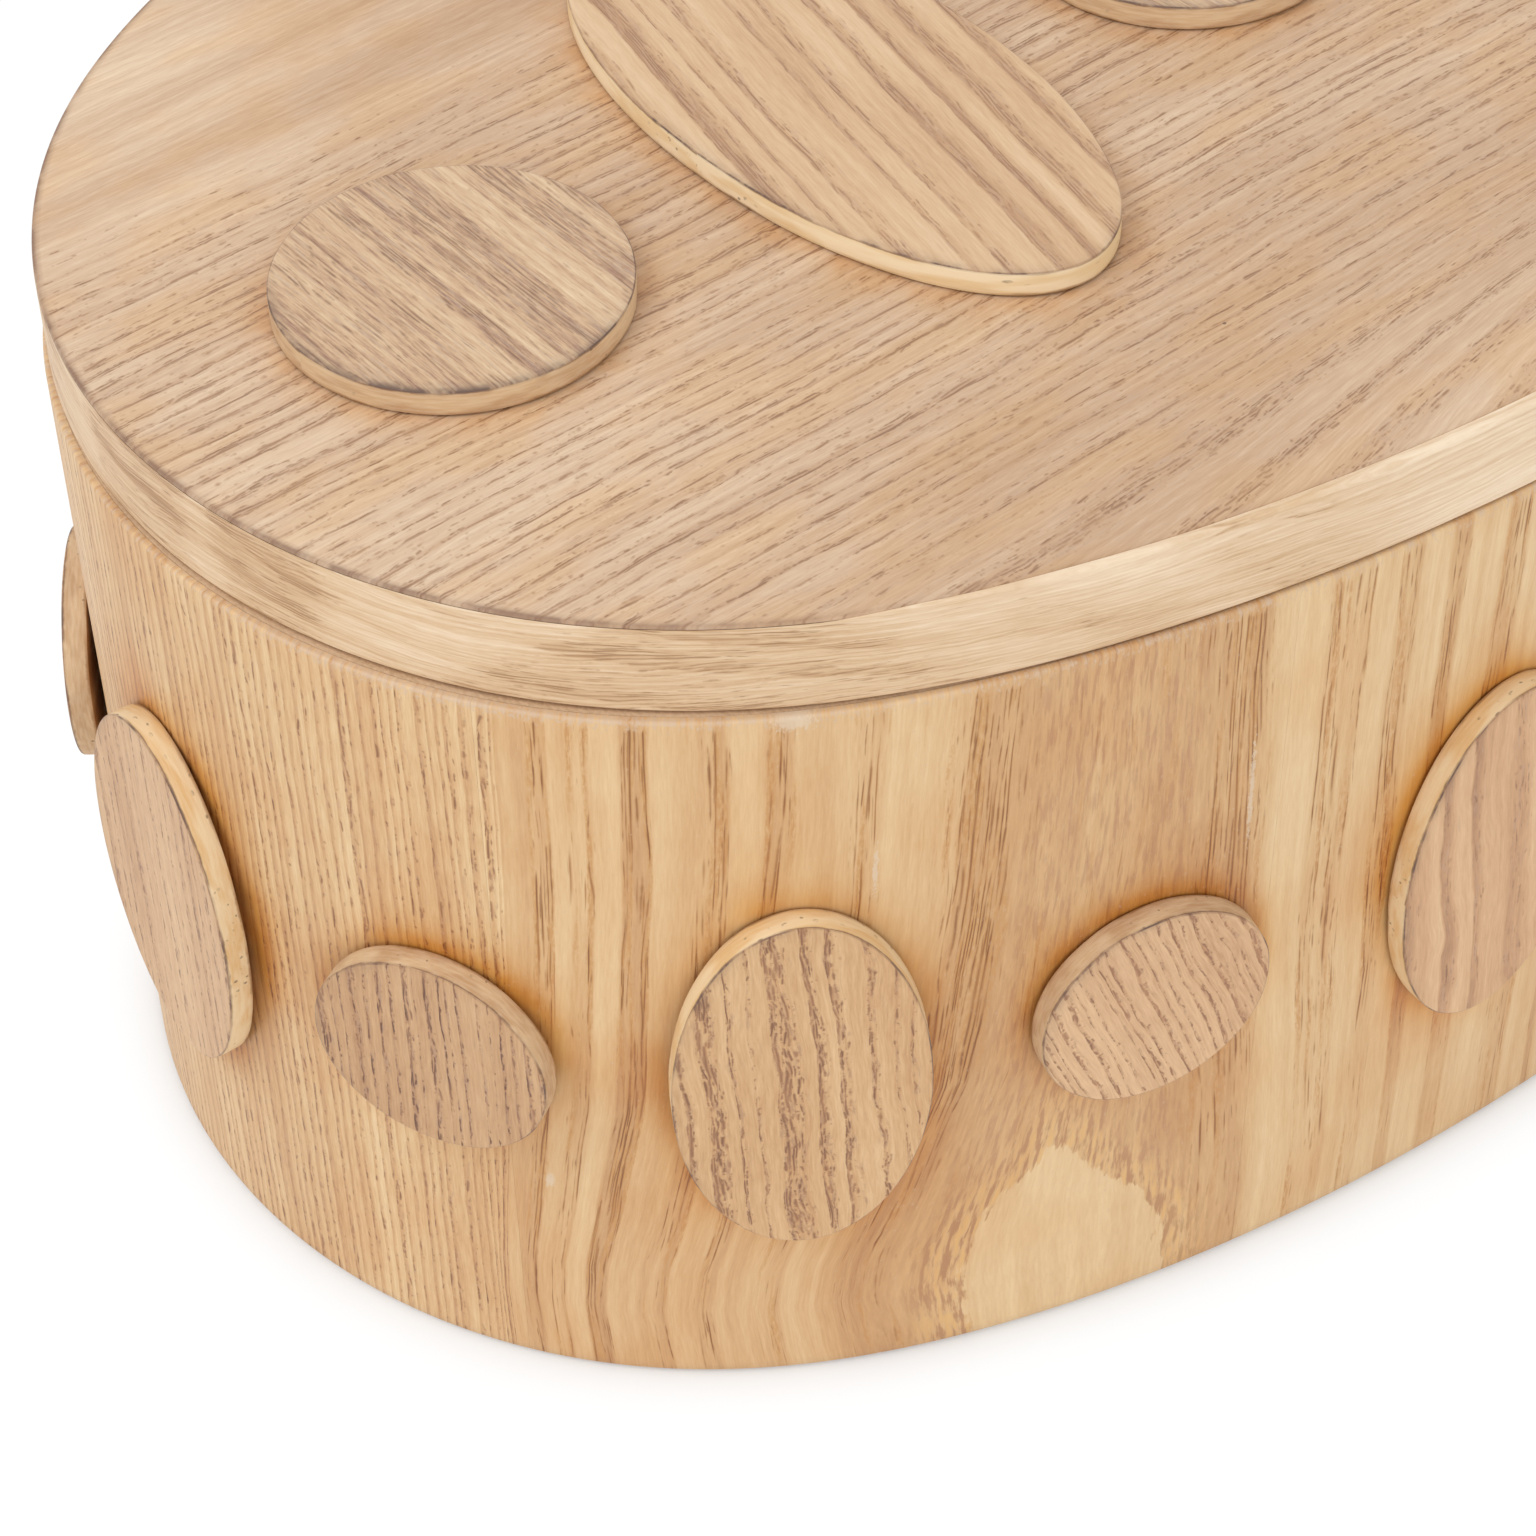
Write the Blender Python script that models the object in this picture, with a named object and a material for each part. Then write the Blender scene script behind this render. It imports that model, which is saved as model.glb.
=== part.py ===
"""Oval keepsake box: a bent and veneered wall, a lift-off lid, and flat oval plates laid on both."""

import bmesh
import bpy
import math
from mathutils import Matrix, Vector
import numpy as np

# Whole box. The box's centre on the ground is the origin, and the long way is X.
LID_LENGTH = 0.3148
LID_WIDTH = 0.190
BOX_HEIGHT = 0.128
END_ROUNDING_SHARE = 0.832
SEAT_GAP = 0.0003

# Lid
LID_THICKNESS = 0.0125
EDGE_BAND_THICKNESS = 0.0008
TOP_VENEER_THICKNESS = 0.0007
LOCATING_PANEL_THICKNESS = 0.006
LOCATING_PANEL_EASED_EDGE = 0.0012
LID_PLAY = 0.0021
LID_REST_SHARES = (0.71, 0.30)

# Wall
LID_OVERHANG = 0.0004
WALL_VENEER_THICKNESS = 0.0007
WALL_CORE_THICKNESS = 0.0075
WALL_EASED_EDGE = 0.0006
VENEER_SHEET_COUNT = 8
FRONT_SHEET_WIDTH = 0.095
FRONT_SHEET_START = 0.0455

# Bottom
BASE_THICKNESS = 0.009
BASE_EASED_EDGE = 0.0006
FLOOR_FELT_THICKNESS = 0.0015
FLOOR_FELT_MARGIN = 0.001

# Oval plates
PLATE_THICKNESS = 0.0032
PLATE_EASED_EDGE = 0.0004
SIDE_PLATE_COUNT = 18
LARGE_PLATE_WIDTH = 0.0310
LARGE_PLATE_HEIGHT = 0.0556
SMALL_PLATE_DIAMETER = 0.0304
FIRST_PLATE_SHARE = -1.18
LAID_OFF_SHARES = (0.04, 0.07, 0.01, -0.04, -0.09, 0.01)
LID_DISC_DIAMETER = 0.0424
LID_LEAF_WIDTH = 0.0429
LID_LEAF_LENGTH = 0.0906
LID_PLATE_END_MARGIN = 0.0216

# How finely curves are cut
OVAL_STEPS = 144
CURVE_STEPS = 1440
PLATE_STEPS = 44
SMOOTH_ANGLE = math.radians(30)
FLATNESS_HALVINGS = 60

WALL_TOP = BOX_HEIGHT - LID_THICKNESS - SEAT_GAP
LID_UNDERSIDE = BOX_HEIGHT - LID_THICKNESS
SHEET_INSET = LID_OVERHANG
CORE_INSET = SHEET_INSET + WALL_VENEER_THICKNESS + SEAT_GAP
WALL_INNER_INSET = CORE_INSET + WALL_CORE_THICKNESS
LID_CENTRE = Vector((LID_PLAY * LID_REST_SHARES[0], LID_PLAY * LID_REST_SHARES[1], 0))


def clear_scene():
    for item in list(bpy.data.objects):
        bpy.data.objects.remove(item, do_unlink=True)


def oval_flatness():
    """Power that makes the end radius swell into the side radius so that the oval comes out at its length."""
    end_radius = END_ROUNDING_SHARE * LID_WIDTH / 2

    def half_length(power):
        swell = (LID_WIDTH / 2 - end_radius) * (power + 1)
        run = math.exp(math.lgamma(power / 2 + 1) - math.lgamma(power / 2 + 3 / 2)) * math.sqrt(math.pi) / 2
        return end_radius + swell * run

    low, high = 0.0, 1.0
    while half_length(high) < LID_LENGTH / 2:
        high *= 2
    for _ in range(FLATNESS_HALVINGS):
        middle = (low + high) / 2
        if half_length(middle) < LID_LENGTH / 2:
            low = middle
        else:
            high = middle
    return high


class Oval:
    """The lid's outline, walked anticlockwise from its left end, and every line parallel to it."""

    def __init__(self):
        power = oval_flatness()
        end_radius = END_ROUNDING_SHARE * LID_WIDTH / 2
        swell = (LID_WIDTH / 2 - end_radius) * (power + 1)
        turn = np.linspace(math.pi, 3 * math.pi, CURVE_STEPS + 1)
        middle = (turn[1:] + turn[:-1]) / 2
        radius = end_radius + swell * np.abs(np.sin(middle)) ** power
        step = radius * np.diff(turn)
        self.turn = turn
        self.walked = np.concatenate(([0], np.cumsum(step)))
        self.x = np.concatenate(([0], np.cumsum(-np.sin(middle) * step))) - LID_LENGTH / 2
        self.y = np.concatenate(([0], np.cumsum(np.cos(middle) * step)))

    def length(self, inset):
        return self.walked[-1] - 2 * math.pi * inset

    def place(self, share, inset):
        """Point and outward direction at a share of the way round, on the line lying inset inside the outline."""
        reached = (self.walked - inset * (self.turn - math.pi)) / self.length(inset)
        share = share % 1
        turn = np.interp(share, reached, self.turn)
        outward = Vector((math.cos(turn), math.sin(turn), 0))
        point = Vector((np.interp(share, reached, self.x), np.interp(share, reached, self.y), 0))
        return point - inset * outward, outward

    def ring(self, inset, steps=OVAL_STEPS):
        return [self.place(step / steps, inset)[0] for step in range(steps)]


def wood(name, colour, roughness):
    material = bpy.data.materials.new(name)
    material.use_nodes = True
    shader = material.node_tree.nodes["Principled BSDF"]
    shader.inputs["Base Color"].default_value = (*colour, 1)
    shader.inputs["Roughness"].default_value = roughness
    shader.inputs["Metallic"].default_value = 0
    return material


def make_materials():
    return {
        "wall_veneer": wood("wall_veneer", (0.62, 0.40, 0.21), 0.5),
        "lid_veneer": wood("lid_veneer", (0.64, 0.45, 0.29), 0.5),
        "pale_edging": wood("pale_edging", (0.80, 0.61, 0.41), 0.5),
        "plate_veneer": wood("plate_veneer", (0.60, 0.42, 0.29), 0.5),
        "core_board": wood("core_board", (0.56, 0.43, 0.30), 0.7),
        "lining_felt": wood("lining_felt", (0.30, 0.25, 0.20), 0.95),
    }


def finish(name, mesh_data, material):
    """Wraps the built mesh in an object with its faces out and its curved sides smooth."""
    bmesh.ops.recalc_face_normals(mesh_data, faces=mesh_data.faces)
    mesh = bpy.data.meshes.new(name)
    mesh_data.to_mesh(mesh)
    mesh_data.free()
    mesh.shade_smooth()
    mesh.set_sharp_from_angle(angle=SMOOTH_ANGLE)
    mesh.materials.append(material)
    item = bpy.data.objects.new(name, mesh)
    bpy.context.scene.collection.objects.link(item)
    return item


def raise_footprint(mesh_data, height):
    """Extrudes the flat faces drawn so far straight up and gives back the top faces."""
    raised = bmesh.ops.extrude_face_region(mesh_data, geom=list(mesh_data.faces))
    bmesh.ops.translate(mesh_data, verts=[v for v in raised["geom"] if isinstance(v, bmesh.types.BMVert)],
                        vec=Vector((0, 0, height)))
    return [face for face in raised["geom"] if isinstance(face, bmesh.types.BMFace)]


def ease_rim(mesh_data, top_faces, width):
    """Bevels the outline of the top faces."""
    inside = set(top_faces)
    rim = [edge for edge in mesh_data.edges if sum(face in inside for face in edge.link_faces) == 1]
    bmesh.ops.bevel(mesh_data, geom=rim, offset=width, offset_type="OFFSET", segments=1, affect="EDGES")


def solid_board(name, outline, low, high, material, eased=0):
    mesh_data = bmesh.new()
    mesh_data.faces.new([mesh_data.verts.new(Vector((p.x, p.y, low))) for p in outline])
    top = raise_footprint(mesh_data, high - low)
    if eased:
        ease_rim(mesh_data, top, eased)
    return finish(name, mesh_data, material)


def bent_strip(name, oval, start, end, inset, thickness, low, high, material, eased=0):
    """A strip standing on edge along the oval, from one share of the way round to another, or right round."""
    closed = end - start >= 1
    steps = max(2, round(OVAL_STEPS * (end - start)))
    shares = [start + (end - start) * step / steps for step in range(steps + (0 if closed else 1))]
    mesh_data = bmesh.new()
    outer, inner = (
        [mesh_data.verts.new(oval.place(share, line)[0] + Vector((0, 0, low))) for share in shares]
        for line in (inset, inset + thickness)
    )
    for step in range(steps):
        after = (step + 1) % len(shares)
        mesh_data.faces.new((outer[step], outer[after], inner[after], inner[step]))
    top = raise_footprint(mesh_data, high - low)
    if eased:
        ease_rim(mesh_data, top, eased)
    return finish(name, mesh_data, material)


def ellipse(width, length):
    turns = [2 * math.pi * step / PLATE_STEPS for step in range(PLATE_STEPS)]
    return [Vector((width / 2 * math.cos(turn), length / 2 * math.sin(turn), 0)) for turn in turns]


def oval_plate(name, width, length, place, material):
    """A flat oval plate with its back on its own XY plane and its eased face at the front."""
    plate = solid_board(name, ellipse(width, length), 0, PLATE_THICKNESS, material, PLATE_EASED_EDGE)
    plate.matrix_world = place
    return plate


def build_wall(oval, materials):
    bent_strip("wall_core", oval, 0, 1, CORE_INSET, WALL_CORE_THICKNESS, 0, WALL_TOP,
               materials["core_board"], WALL_EASED_EDGE)
    girth = oval.length(SHEET_INSET)
    first = FRONT_SHEET_START / girth
    front_width = FRONT_SHEET_WIDTH / girth
    other_width = (1 - front_width) / (VENEER_SHEET_COUNT - 1)
    joint = SEAT_GAP / girth
    edge = first
    for number in range(1, VENEER_SHEET_COUNT + 1):
        width = front_width if number == 1 else other_width
        bent_strip(f"wall_veneer_{number}", oval, edge, edge + width - joint, SHEET_INSET,
                   WALL_VENEER_THICKNESS, SEAT_GAP, WALL_TOP, materials["wall_veneer"])
        edge += width


def build_bottom(oval, materials):
    base_inset = WALL_INNER_INSET + SEAT_GAP
    solid_board("base_board", oval.ring(base_inset), 0, BASE_THICKNESS, materials["core_board"], BASE_EASED_EDGE)
    felt_low = BASE_THICKNESS + SEAT_GAP
    solid_board("floor_felt", oval.ring(base_inset + FLOOR_FELT_MARGIN), felt_low,
                felt_low + FLOOR_FELT_THICKNESS, materials["lining_felt"])


def build_side_plates(oval, materials):
    """Large upright ovals and small discs in turn, half way up the wall, a few of them laid off their even places."""
    middle = WALL_TOP / 2
    for number in range(SIDE_PLATE_COUNT):
        laid_off = LAID_OFF_SHARES[number] if number < len(LAID_OFF_SHARES) else 0
        share = (FIRST_PLATE_SHARE + number + laid_off) / SIDE_PLATE_COUNT
        point, outward = oval.place(share, SHEET_INSET)
        along = Vector((-outward.y, outward.x, 0))
        up = Vector((0, 0, 1))
        turned = Matrix((along, up, outward)).transposed().to_4x4()
        seat = point + SEAT_GAP * outward + middle * up
        large = number % 2 == 1
        width, height = (LARGE_PLATE_WIDTH, LARGE_PLATE_HEIGHT) if large else (SMALL_PLATE_DIAMETER,) * 2
        size_word = "large_oval" if large else "small_disc"
        oval_plate(f"side_{size_word}_{number // 2 + 1}", width, height,
                   Matrix.Translation(seat) @ turned, materials["plate_veneer"])


def build_lid(oval, materials):
    """The lid lies loose on the wall, moved over by part of the play that its locating panel has."""
    board_outline = oval.ring(EDGE_BAND_THICKNESS + SEAT_GAP)
    veneer_low = BOX_HEIGHT - TOP_VENEER_THICKNESS
    flat_pieces = [
        solid_board("lid_board", board_outline, LID_UNDERSIDE, veneer_low - SEAT_GAP, materials["core_board"]),
        solid_board("lid_top_veneer", board_outline, veneer_low, BOX_HEIGHT, materials["lid_veneer"]),
        bent_strip("lid_edge_band", oval, 0, 1, 0, EDGE_BAND_THICKNESS, LID_UNDERSIDE, BOX_HEIGHT,
                   materials["pale_edging"]),
    ]
    for piece in flat_pieces:
        piece.location = LID_CENTRE
    panel = solid_board("lid_locating_panel", oval.ring(WALL_INNER_INSET + LID_PLAY), 0,
                        LOCATING_PANEL_THICKNESS, materials["core_board"], LOCATING_PANEL_EASED_EDGE)
    panel_top = LID_CENTRE + Vector((0, 0, LID_UNDERSIDE - SEAT_GAP))
    panel.matrix_world = Matrix.Translation(panel_top) @ Matrix.Rotation(math.pi, 4, "X")


def build_lid_plates(materials):
    """Discs and long leaves in turn along the lid, the leaves lying across it."""
    names = ("lid_disc_left", "lid_leaf_left", "lid_disc_middle", "lid_leaf_right", "lid_disc_right")
    reach = (LID_LENGTH - LID_DISC_DIAMETER) / 2 - LID_PLATE_END_MARGIN
    spacing = 2 * reach / (len(names) - 1)
    for number, name in enumerate(names):
        along = number * spacing - reach
        place = Matrix.Translation(LID_CENTRE + Vector((along, 0, BOX_HEIGHT + SEAT_GAP)))
        leaf = number % 2 == 1
        width, length = (LID_LEAF_WIDTH, LID_LEAF_LENGTH) if leaf else (LID_DISC_DIAMETER,) * 2
        oval_plate(name, width, length, place, materials["plate_veneer"])


def main():
    clear_scene()
    materials = make_materials()
    oval = Oval()
    build_wall(oval, materials)
    build_bottom(oval, materials)
    build_side_plates(oval, materials)
    build_lid(oval, materials)
    build_lid_plates(materials)


main()
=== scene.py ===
"""Looks of the oval keepsake box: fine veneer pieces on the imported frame, wood finishes, light and camera."""

import math
import bpy
from mathutils import Matrix, Vector
import numpy as np


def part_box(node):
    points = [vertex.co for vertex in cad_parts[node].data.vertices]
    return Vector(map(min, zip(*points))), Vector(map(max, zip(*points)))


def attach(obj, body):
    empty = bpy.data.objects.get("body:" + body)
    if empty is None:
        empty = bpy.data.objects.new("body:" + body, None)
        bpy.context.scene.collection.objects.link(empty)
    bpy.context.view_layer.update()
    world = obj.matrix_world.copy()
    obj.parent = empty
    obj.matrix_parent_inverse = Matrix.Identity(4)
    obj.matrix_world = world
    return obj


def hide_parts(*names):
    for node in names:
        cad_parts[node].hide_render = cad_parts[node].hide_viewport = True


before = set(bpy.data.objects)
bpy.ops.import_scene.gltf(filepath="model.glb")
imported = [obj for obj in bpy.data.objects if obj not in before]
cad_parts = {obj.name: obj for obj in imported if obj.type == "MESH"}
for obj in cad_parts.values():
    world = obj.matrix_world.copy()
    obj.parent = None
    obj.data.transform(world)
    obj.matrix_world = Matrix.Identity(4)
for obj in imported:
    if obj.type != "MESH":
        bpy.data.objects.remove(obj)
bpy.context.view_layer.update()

MM = 0.001
UP = Vector((0, 0, 1))

# Camera and floor
CAMERA_PLACE = (-0.31368, -0.30512, 0.41226)
CAMERA_DOWN = math.radians(44.78)
CAMERA_TURN = math.radians(38.76)
CAMERA_TILT = math.radians(-1.15)
LENS_MM = 93.5
SENSOR_MM = 36.0
FLOOR_HALF = 5.0
FLOOR_SINK = 0.0002
FLOOR_WHITE = 0.86
FLOOR_GLOW = 1.055
# How much of the floor's look is its lit surface and not plain white, at distances from the box's foot
FLOOR_SHADOW_RINGS = ((0.0, 0.70), (0.001, 0.49), (0.002, 0.38), (0.004, 0.24), (0.006, 0.16), (0.009, 0.11),
                      (0.012, 0.09), (FLOOR_HALF, 0.09))
WORLD_STRENGTH = 0.72
LAMPS = (("key", (-0.9, 0.25, 1.2), 0.9, 5.5), ("fill", (-0.6, -1.4, 0.6), 1.4, 5.0))
LAMP_AIM = (0, 0, 0.06)

# Lid and wall, as the frame has them
END_ROUNDING_SHARE = 0.832
LID_OVERHANG = 0.4 * MM
VENEER_THICKNESS = 0.7 * MM
JOINT_GAP = 0.3 * MM
SHEET_COUNT = 8
FRONT_SHEET_START = 45.5 * MM
FRONT_SHEET_WIDTH = 95 * MM
SIDE_PLATE_COUNT = 18
FIRST_PLATE_SHARE = -1.18
LAID_OFF_SHARES = (0.04, 0.07, 0.01, -0.04, -0.09, 0.01)

COLUMN_STEP = 1.2 * MM
ROW_STEP = 1.5 * MM
PLATE_STEPS = 160

# The wall's veneer: its foot, rim and seams, how far the rim is rubbed away, and the glue stain with painted
# contact shade round the plates
SHEET_FOOT = (0.1 * MM, 0.15 * MM)
SHEET_RIM = ((0.06 * MM, 0.22 * MM), (0.20 * MM, 0.06 * MM), (0.45 * MM, 0.0))
SHEET_SIDE_END = 0.8 * MM
SHEET_GAP = 0.02 * MM
DRAWN_SHEETS = (1, 2, SHEET_COUNT)
RIM_SAG = 0.32 * MM
RUBBED_RIM = ((5, 24, 45, 66, 78, 82, 90), (0.6, 0.9, 1.0, 0.8, 0.7, 0.7, 0.6))
RUBBED_DEPTH_MM = 0.9
GLUE_AND_SHADE_START = 1 * MM
GLUE_AND_SHADE_FADE = 2.3 * MM
# The board behind it
CORE_THICKNESS = 7.5 * MM
CORE_ROUNDING = 0.6 * MM
CORE_OUTER_RIM = ((0.0, 0.25 * MM), (0.2 * MM, 0.05 * MM), (0.5 * MM, 0.0))
# The lid: its band's worn foot and plain side, and its veneer's edge with how dark each line of it is
BAND_FOOT = ((0.6 * MM, 0.0), (0.25 * MM, 0.12 * MM), (0.06 * MM, 0.35 * MM))
BAND_SIDE_ROWS = (0.7 * MM, 4 * MM, 8 * MM)
BAND_ARRIS = ((0.0, 0.5 * MM), (0.3, 0.2 * MM), (1.0, 0.05 * MM))
BAND_STEP = 0.3 * MM
BAND_DEPTH = 0.5 * MM
BAND_LEDGE = 0.1 * MM
BAND_LEAST_WIDTH = 0.7 * MM
LID_VENEER_RINGS = ((0.05 * MM, 0.48 * MM, 0.8), (0.0, 0.40 * MM, 0.8), (0.04 * MM, 0.16 * MM, 0.9),
                    (0.16 * MM, 0.03 * MM, 1.0), (0.32 * MM, 0.0, 0.8), (0.6 * MM, 0.0, 0.35),
                    (1.1 * MM, 0.0, 0.0), (6 * MM, 0.0, 0.0))
# The plates: how far in their rings lie, with the height from the back or the depth under the face
PLATE_THICKNESS = 3.2 * MM
LARGE_PLATE_HALF_WIDTH = 15.5 * MM
PLATE_WOBBLE = 0.05 * MM
PLATE_BACK_RINGS = ((0.08 * MM, 0.0), (0.03 * MM, 0.10 * MM))
PLATE_SIDE_INSET = 0.02 * MM
PLATE_FACE_RINGS = ((0.03 * MM, 0.55 * MM), (0.05 * MM, 0.18 * MM), (0.13 * MM, 0.05 * MM), (0.26 * MM, 0.0),
                    (0.5 * MM, 0.0), (1.1 * MM, 0.0), (2.2 * MM, 0.0))
PLATE_RIM_END = 0.2 * MM
PLATE_VENEER_LINE = (2.72 * MM, 2.98 * MM)
PLATE_SIDE_RADIUS = 15 * MM
PLATE_SOIL_FADE = ((0.26 * MM, 0.5 * MM, 1.1 * MM, 2.2 * MM), (1.0, 0.8, 0.25, 0.0))


def srgb(red, green, blue):
    """A colour named by its three screen values from 0 to 255."""
    return tuple(c / 255 / 12.92 if c < 10.3 else ((c / 255 + 0.055) / 1.055) ** 2.4
                 for c in (red, green, blue)) + (1,)


def colours(**named):
    """Several colours, each named by its three screen values."""
    return {name: srgb(*values) for name, values in named.items()}


class Oval:
    """The lid's outline, walked anticlockwise from its left end, and every line parallel to it."""

    def __init__(self, length, width):
        end_radius = END_ROUNDING_SHARE * width / 2

        def half_length(power):
            swell = (width / 2 - end_radius) * (power + 1)
            run = math.exp(math.lgamma(power / 2 + 1)
                           - math.lgamma(power / 2 + 3 / 2)) * math.sqrt(math.pi) / 2
            return end_radius + swell * run

        low, high = 0.0, 100.0
        for _ in range(80):
            middle = (low + high) / 2
            low, high = (middle, high) if half_length(middle) < length / 2 else (low, middle)
        swell = (width / 2 - end_radius) * (high + 1)
        turn = np.linspace(math.pi, 3 * math.pi, 2881)
        middle = (turn[1:] + turn[:-1]) / 2
        step = (end_radius + swell * np.abs(np.sin(middle)) ** high) * np.diff(turn)
        self.turn = turn
        self.walked = np.concatenate(([0], np.cumsum(step)))
        self.x = np.concatenate(([0], np.cumsum(-np.sin(middle) * step))) - length / 2
        self.y = np.concatenate(([0], np.cumsum(np.cos(middle) * step)))

    def length(self, inset=0.0):
        return self.walked[-1] - 2 * math.pi * inset

    def place(self, share, inset):
        """Points and outward directions at shares of the way round, on the line that lies inset inside."""
        share = np.mod(np.asarray(share, float), 1)
        reached = (self.walked - LID_OVERHANG * (self.turn - math.pi)) / self.length(LID_OVERHANG)
        turn = np.interp(share, reached, self.turn)
        outward = np.stack([np.cos(turn), np.sin(turn)], -1)
        point = np.stack([np.interp(share, reached, self.x), np.interp(share, reached, self.y)], -1)
        return point - np.asarray(inset)[..., None] * outward, outward


LID_PLATE_NODES = ("lid_disc_left", "lid_leaf_left", "lid_disc_middle", "lid_leaf_right", "lid_disc_right")
band_low, band_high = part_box("lid_edge_band")
wall_low, wall_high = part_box("wall_core")
LID_LOW, LID_TOP, WALL_TOP = band_low.z, band_high.z, wall_high.z
LID_CENTRE = (band_low + band_high) / 2
OVAL = Oval(band_high.x - band_low.x, band_high.y - band_low.y)
GIRTH = OVAL.length(LID_OVERHANG)


def lid_plate_places():
    """Middle and half sizes of each plate on the lid, from the lid's own middle."""
    places = []
    for node in LID_PLATE_NODES:
        low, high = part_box(node)
        middle = (low + high) / 2 - LID_CENTRE
        places.append((middle.x, middle.y, (high.x - low.x) / 2, (high.y - low.y) / 2))
    return places


LID_PLATES = lid_plate_places()


def link(item):
    bpy.context.scene.collection.objects.link(item)
    return item


def make_piece(name, vertices, faces, face_materials, materials, maps=None, floats=None, smooth_angle=40):
    """An object from plain lists. maps has per-corner grain coordinates, floats has per-vertex numbers."""
    mesh = bpy.data.meshes.new(name)
    mesh.from_pydata([tuple(v) for v in vertices], [], [list(f) for f in faces])
    for material in materials:
        mesh.materials.append(material)
    mesh.polygons.foreach_set("material_index", np.asarray(face_materials, np.int32))
    for map_name, values in (maps or {}).items():
        layer = mesh.uv_layers.new(name=map_name)
        layer.data.foreach_set("uv", np.asarray(values, np.float32).ravel())
    for float_name, values in (floats or {}).items():
        attribute = mesh.attributes.new(float_name, "FLOAT", "POINT")
        attribute.data.foreach_set("value", np.asarray(values, np.float32))
    mesh.shade_smooth()
    mesh.set_sharp_from_angle(angle=math.radians(smooth_angle))
    mesh.update()
    return link(bpy.data.objects.new(name, mesh))


class Value:
    """What one output of a shader node gives, for sums written as in plain Python."""

    def __init__(self, nodes, socket):
        self.nodes = nodes
        self.socket = socket

    def __add__(self, other):
        return self.nodes.math("ADD", self, other)

    def __mul__(self, other):
        return self.nodes.math("MULTIPLY", self, other)

    def __sub__(self, other):
        return self.nodes.math("SUBTRACT", self, other)

    def __rsub__(self, other):
        return self.nodes.math("SUBTRACT", other, self)

    def __truediv__(self, other):
        return self.nodes.math("DIVIDE", self, other)


class Nodes:
    """A node tree under construction."""

    def __init__(self, tree):
        self.tree = tree

    def feed(self, socket, value):
        if isinstance(value, Value):
            self.tree.links.new(value.socket, socket)
        else:
            socket.default_value = value

    def node(self, kind, inputs, **settings):
        node = self.tree.nodes.new(kind)
        for name, value in settings.items():
            setattr(node, name, value)
        for socket, value in inputs.items():
            self.feed(node.inputs[socket], value)
        return node

    def read(self, kind, inputs, output=0, **settings):
        """Makes a node and gives what one of its outputs says."""
        return Value(self, self.node(kind, inputs, **settings).outputs[output])

    def read_all(self, kind, inputs, **settings):
        return [Value(self, socket) for socket in self.node(kind, inputs, **settings).outputs]

    def math(self, operation, *values, clamp=False):
        return self.read("ShaderNodeMath", dict(enumerate(values)), operation=operation, use_clamp=clamp)

    def seen_directly(self):
        """1 where the camera sees a surface, also in a gloss or through glass, and 0 elsewhere."""
        camera, glossy, through = [self.read("ShaderNodeLightPath", {}, f"Is {kind} Ray")
                                   for kind in ("Camera", "Glossy", "Transmission")]
        return self.math("MAXIMUM", self.math("MAXIMUM", camera, glossy), through)


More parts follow.
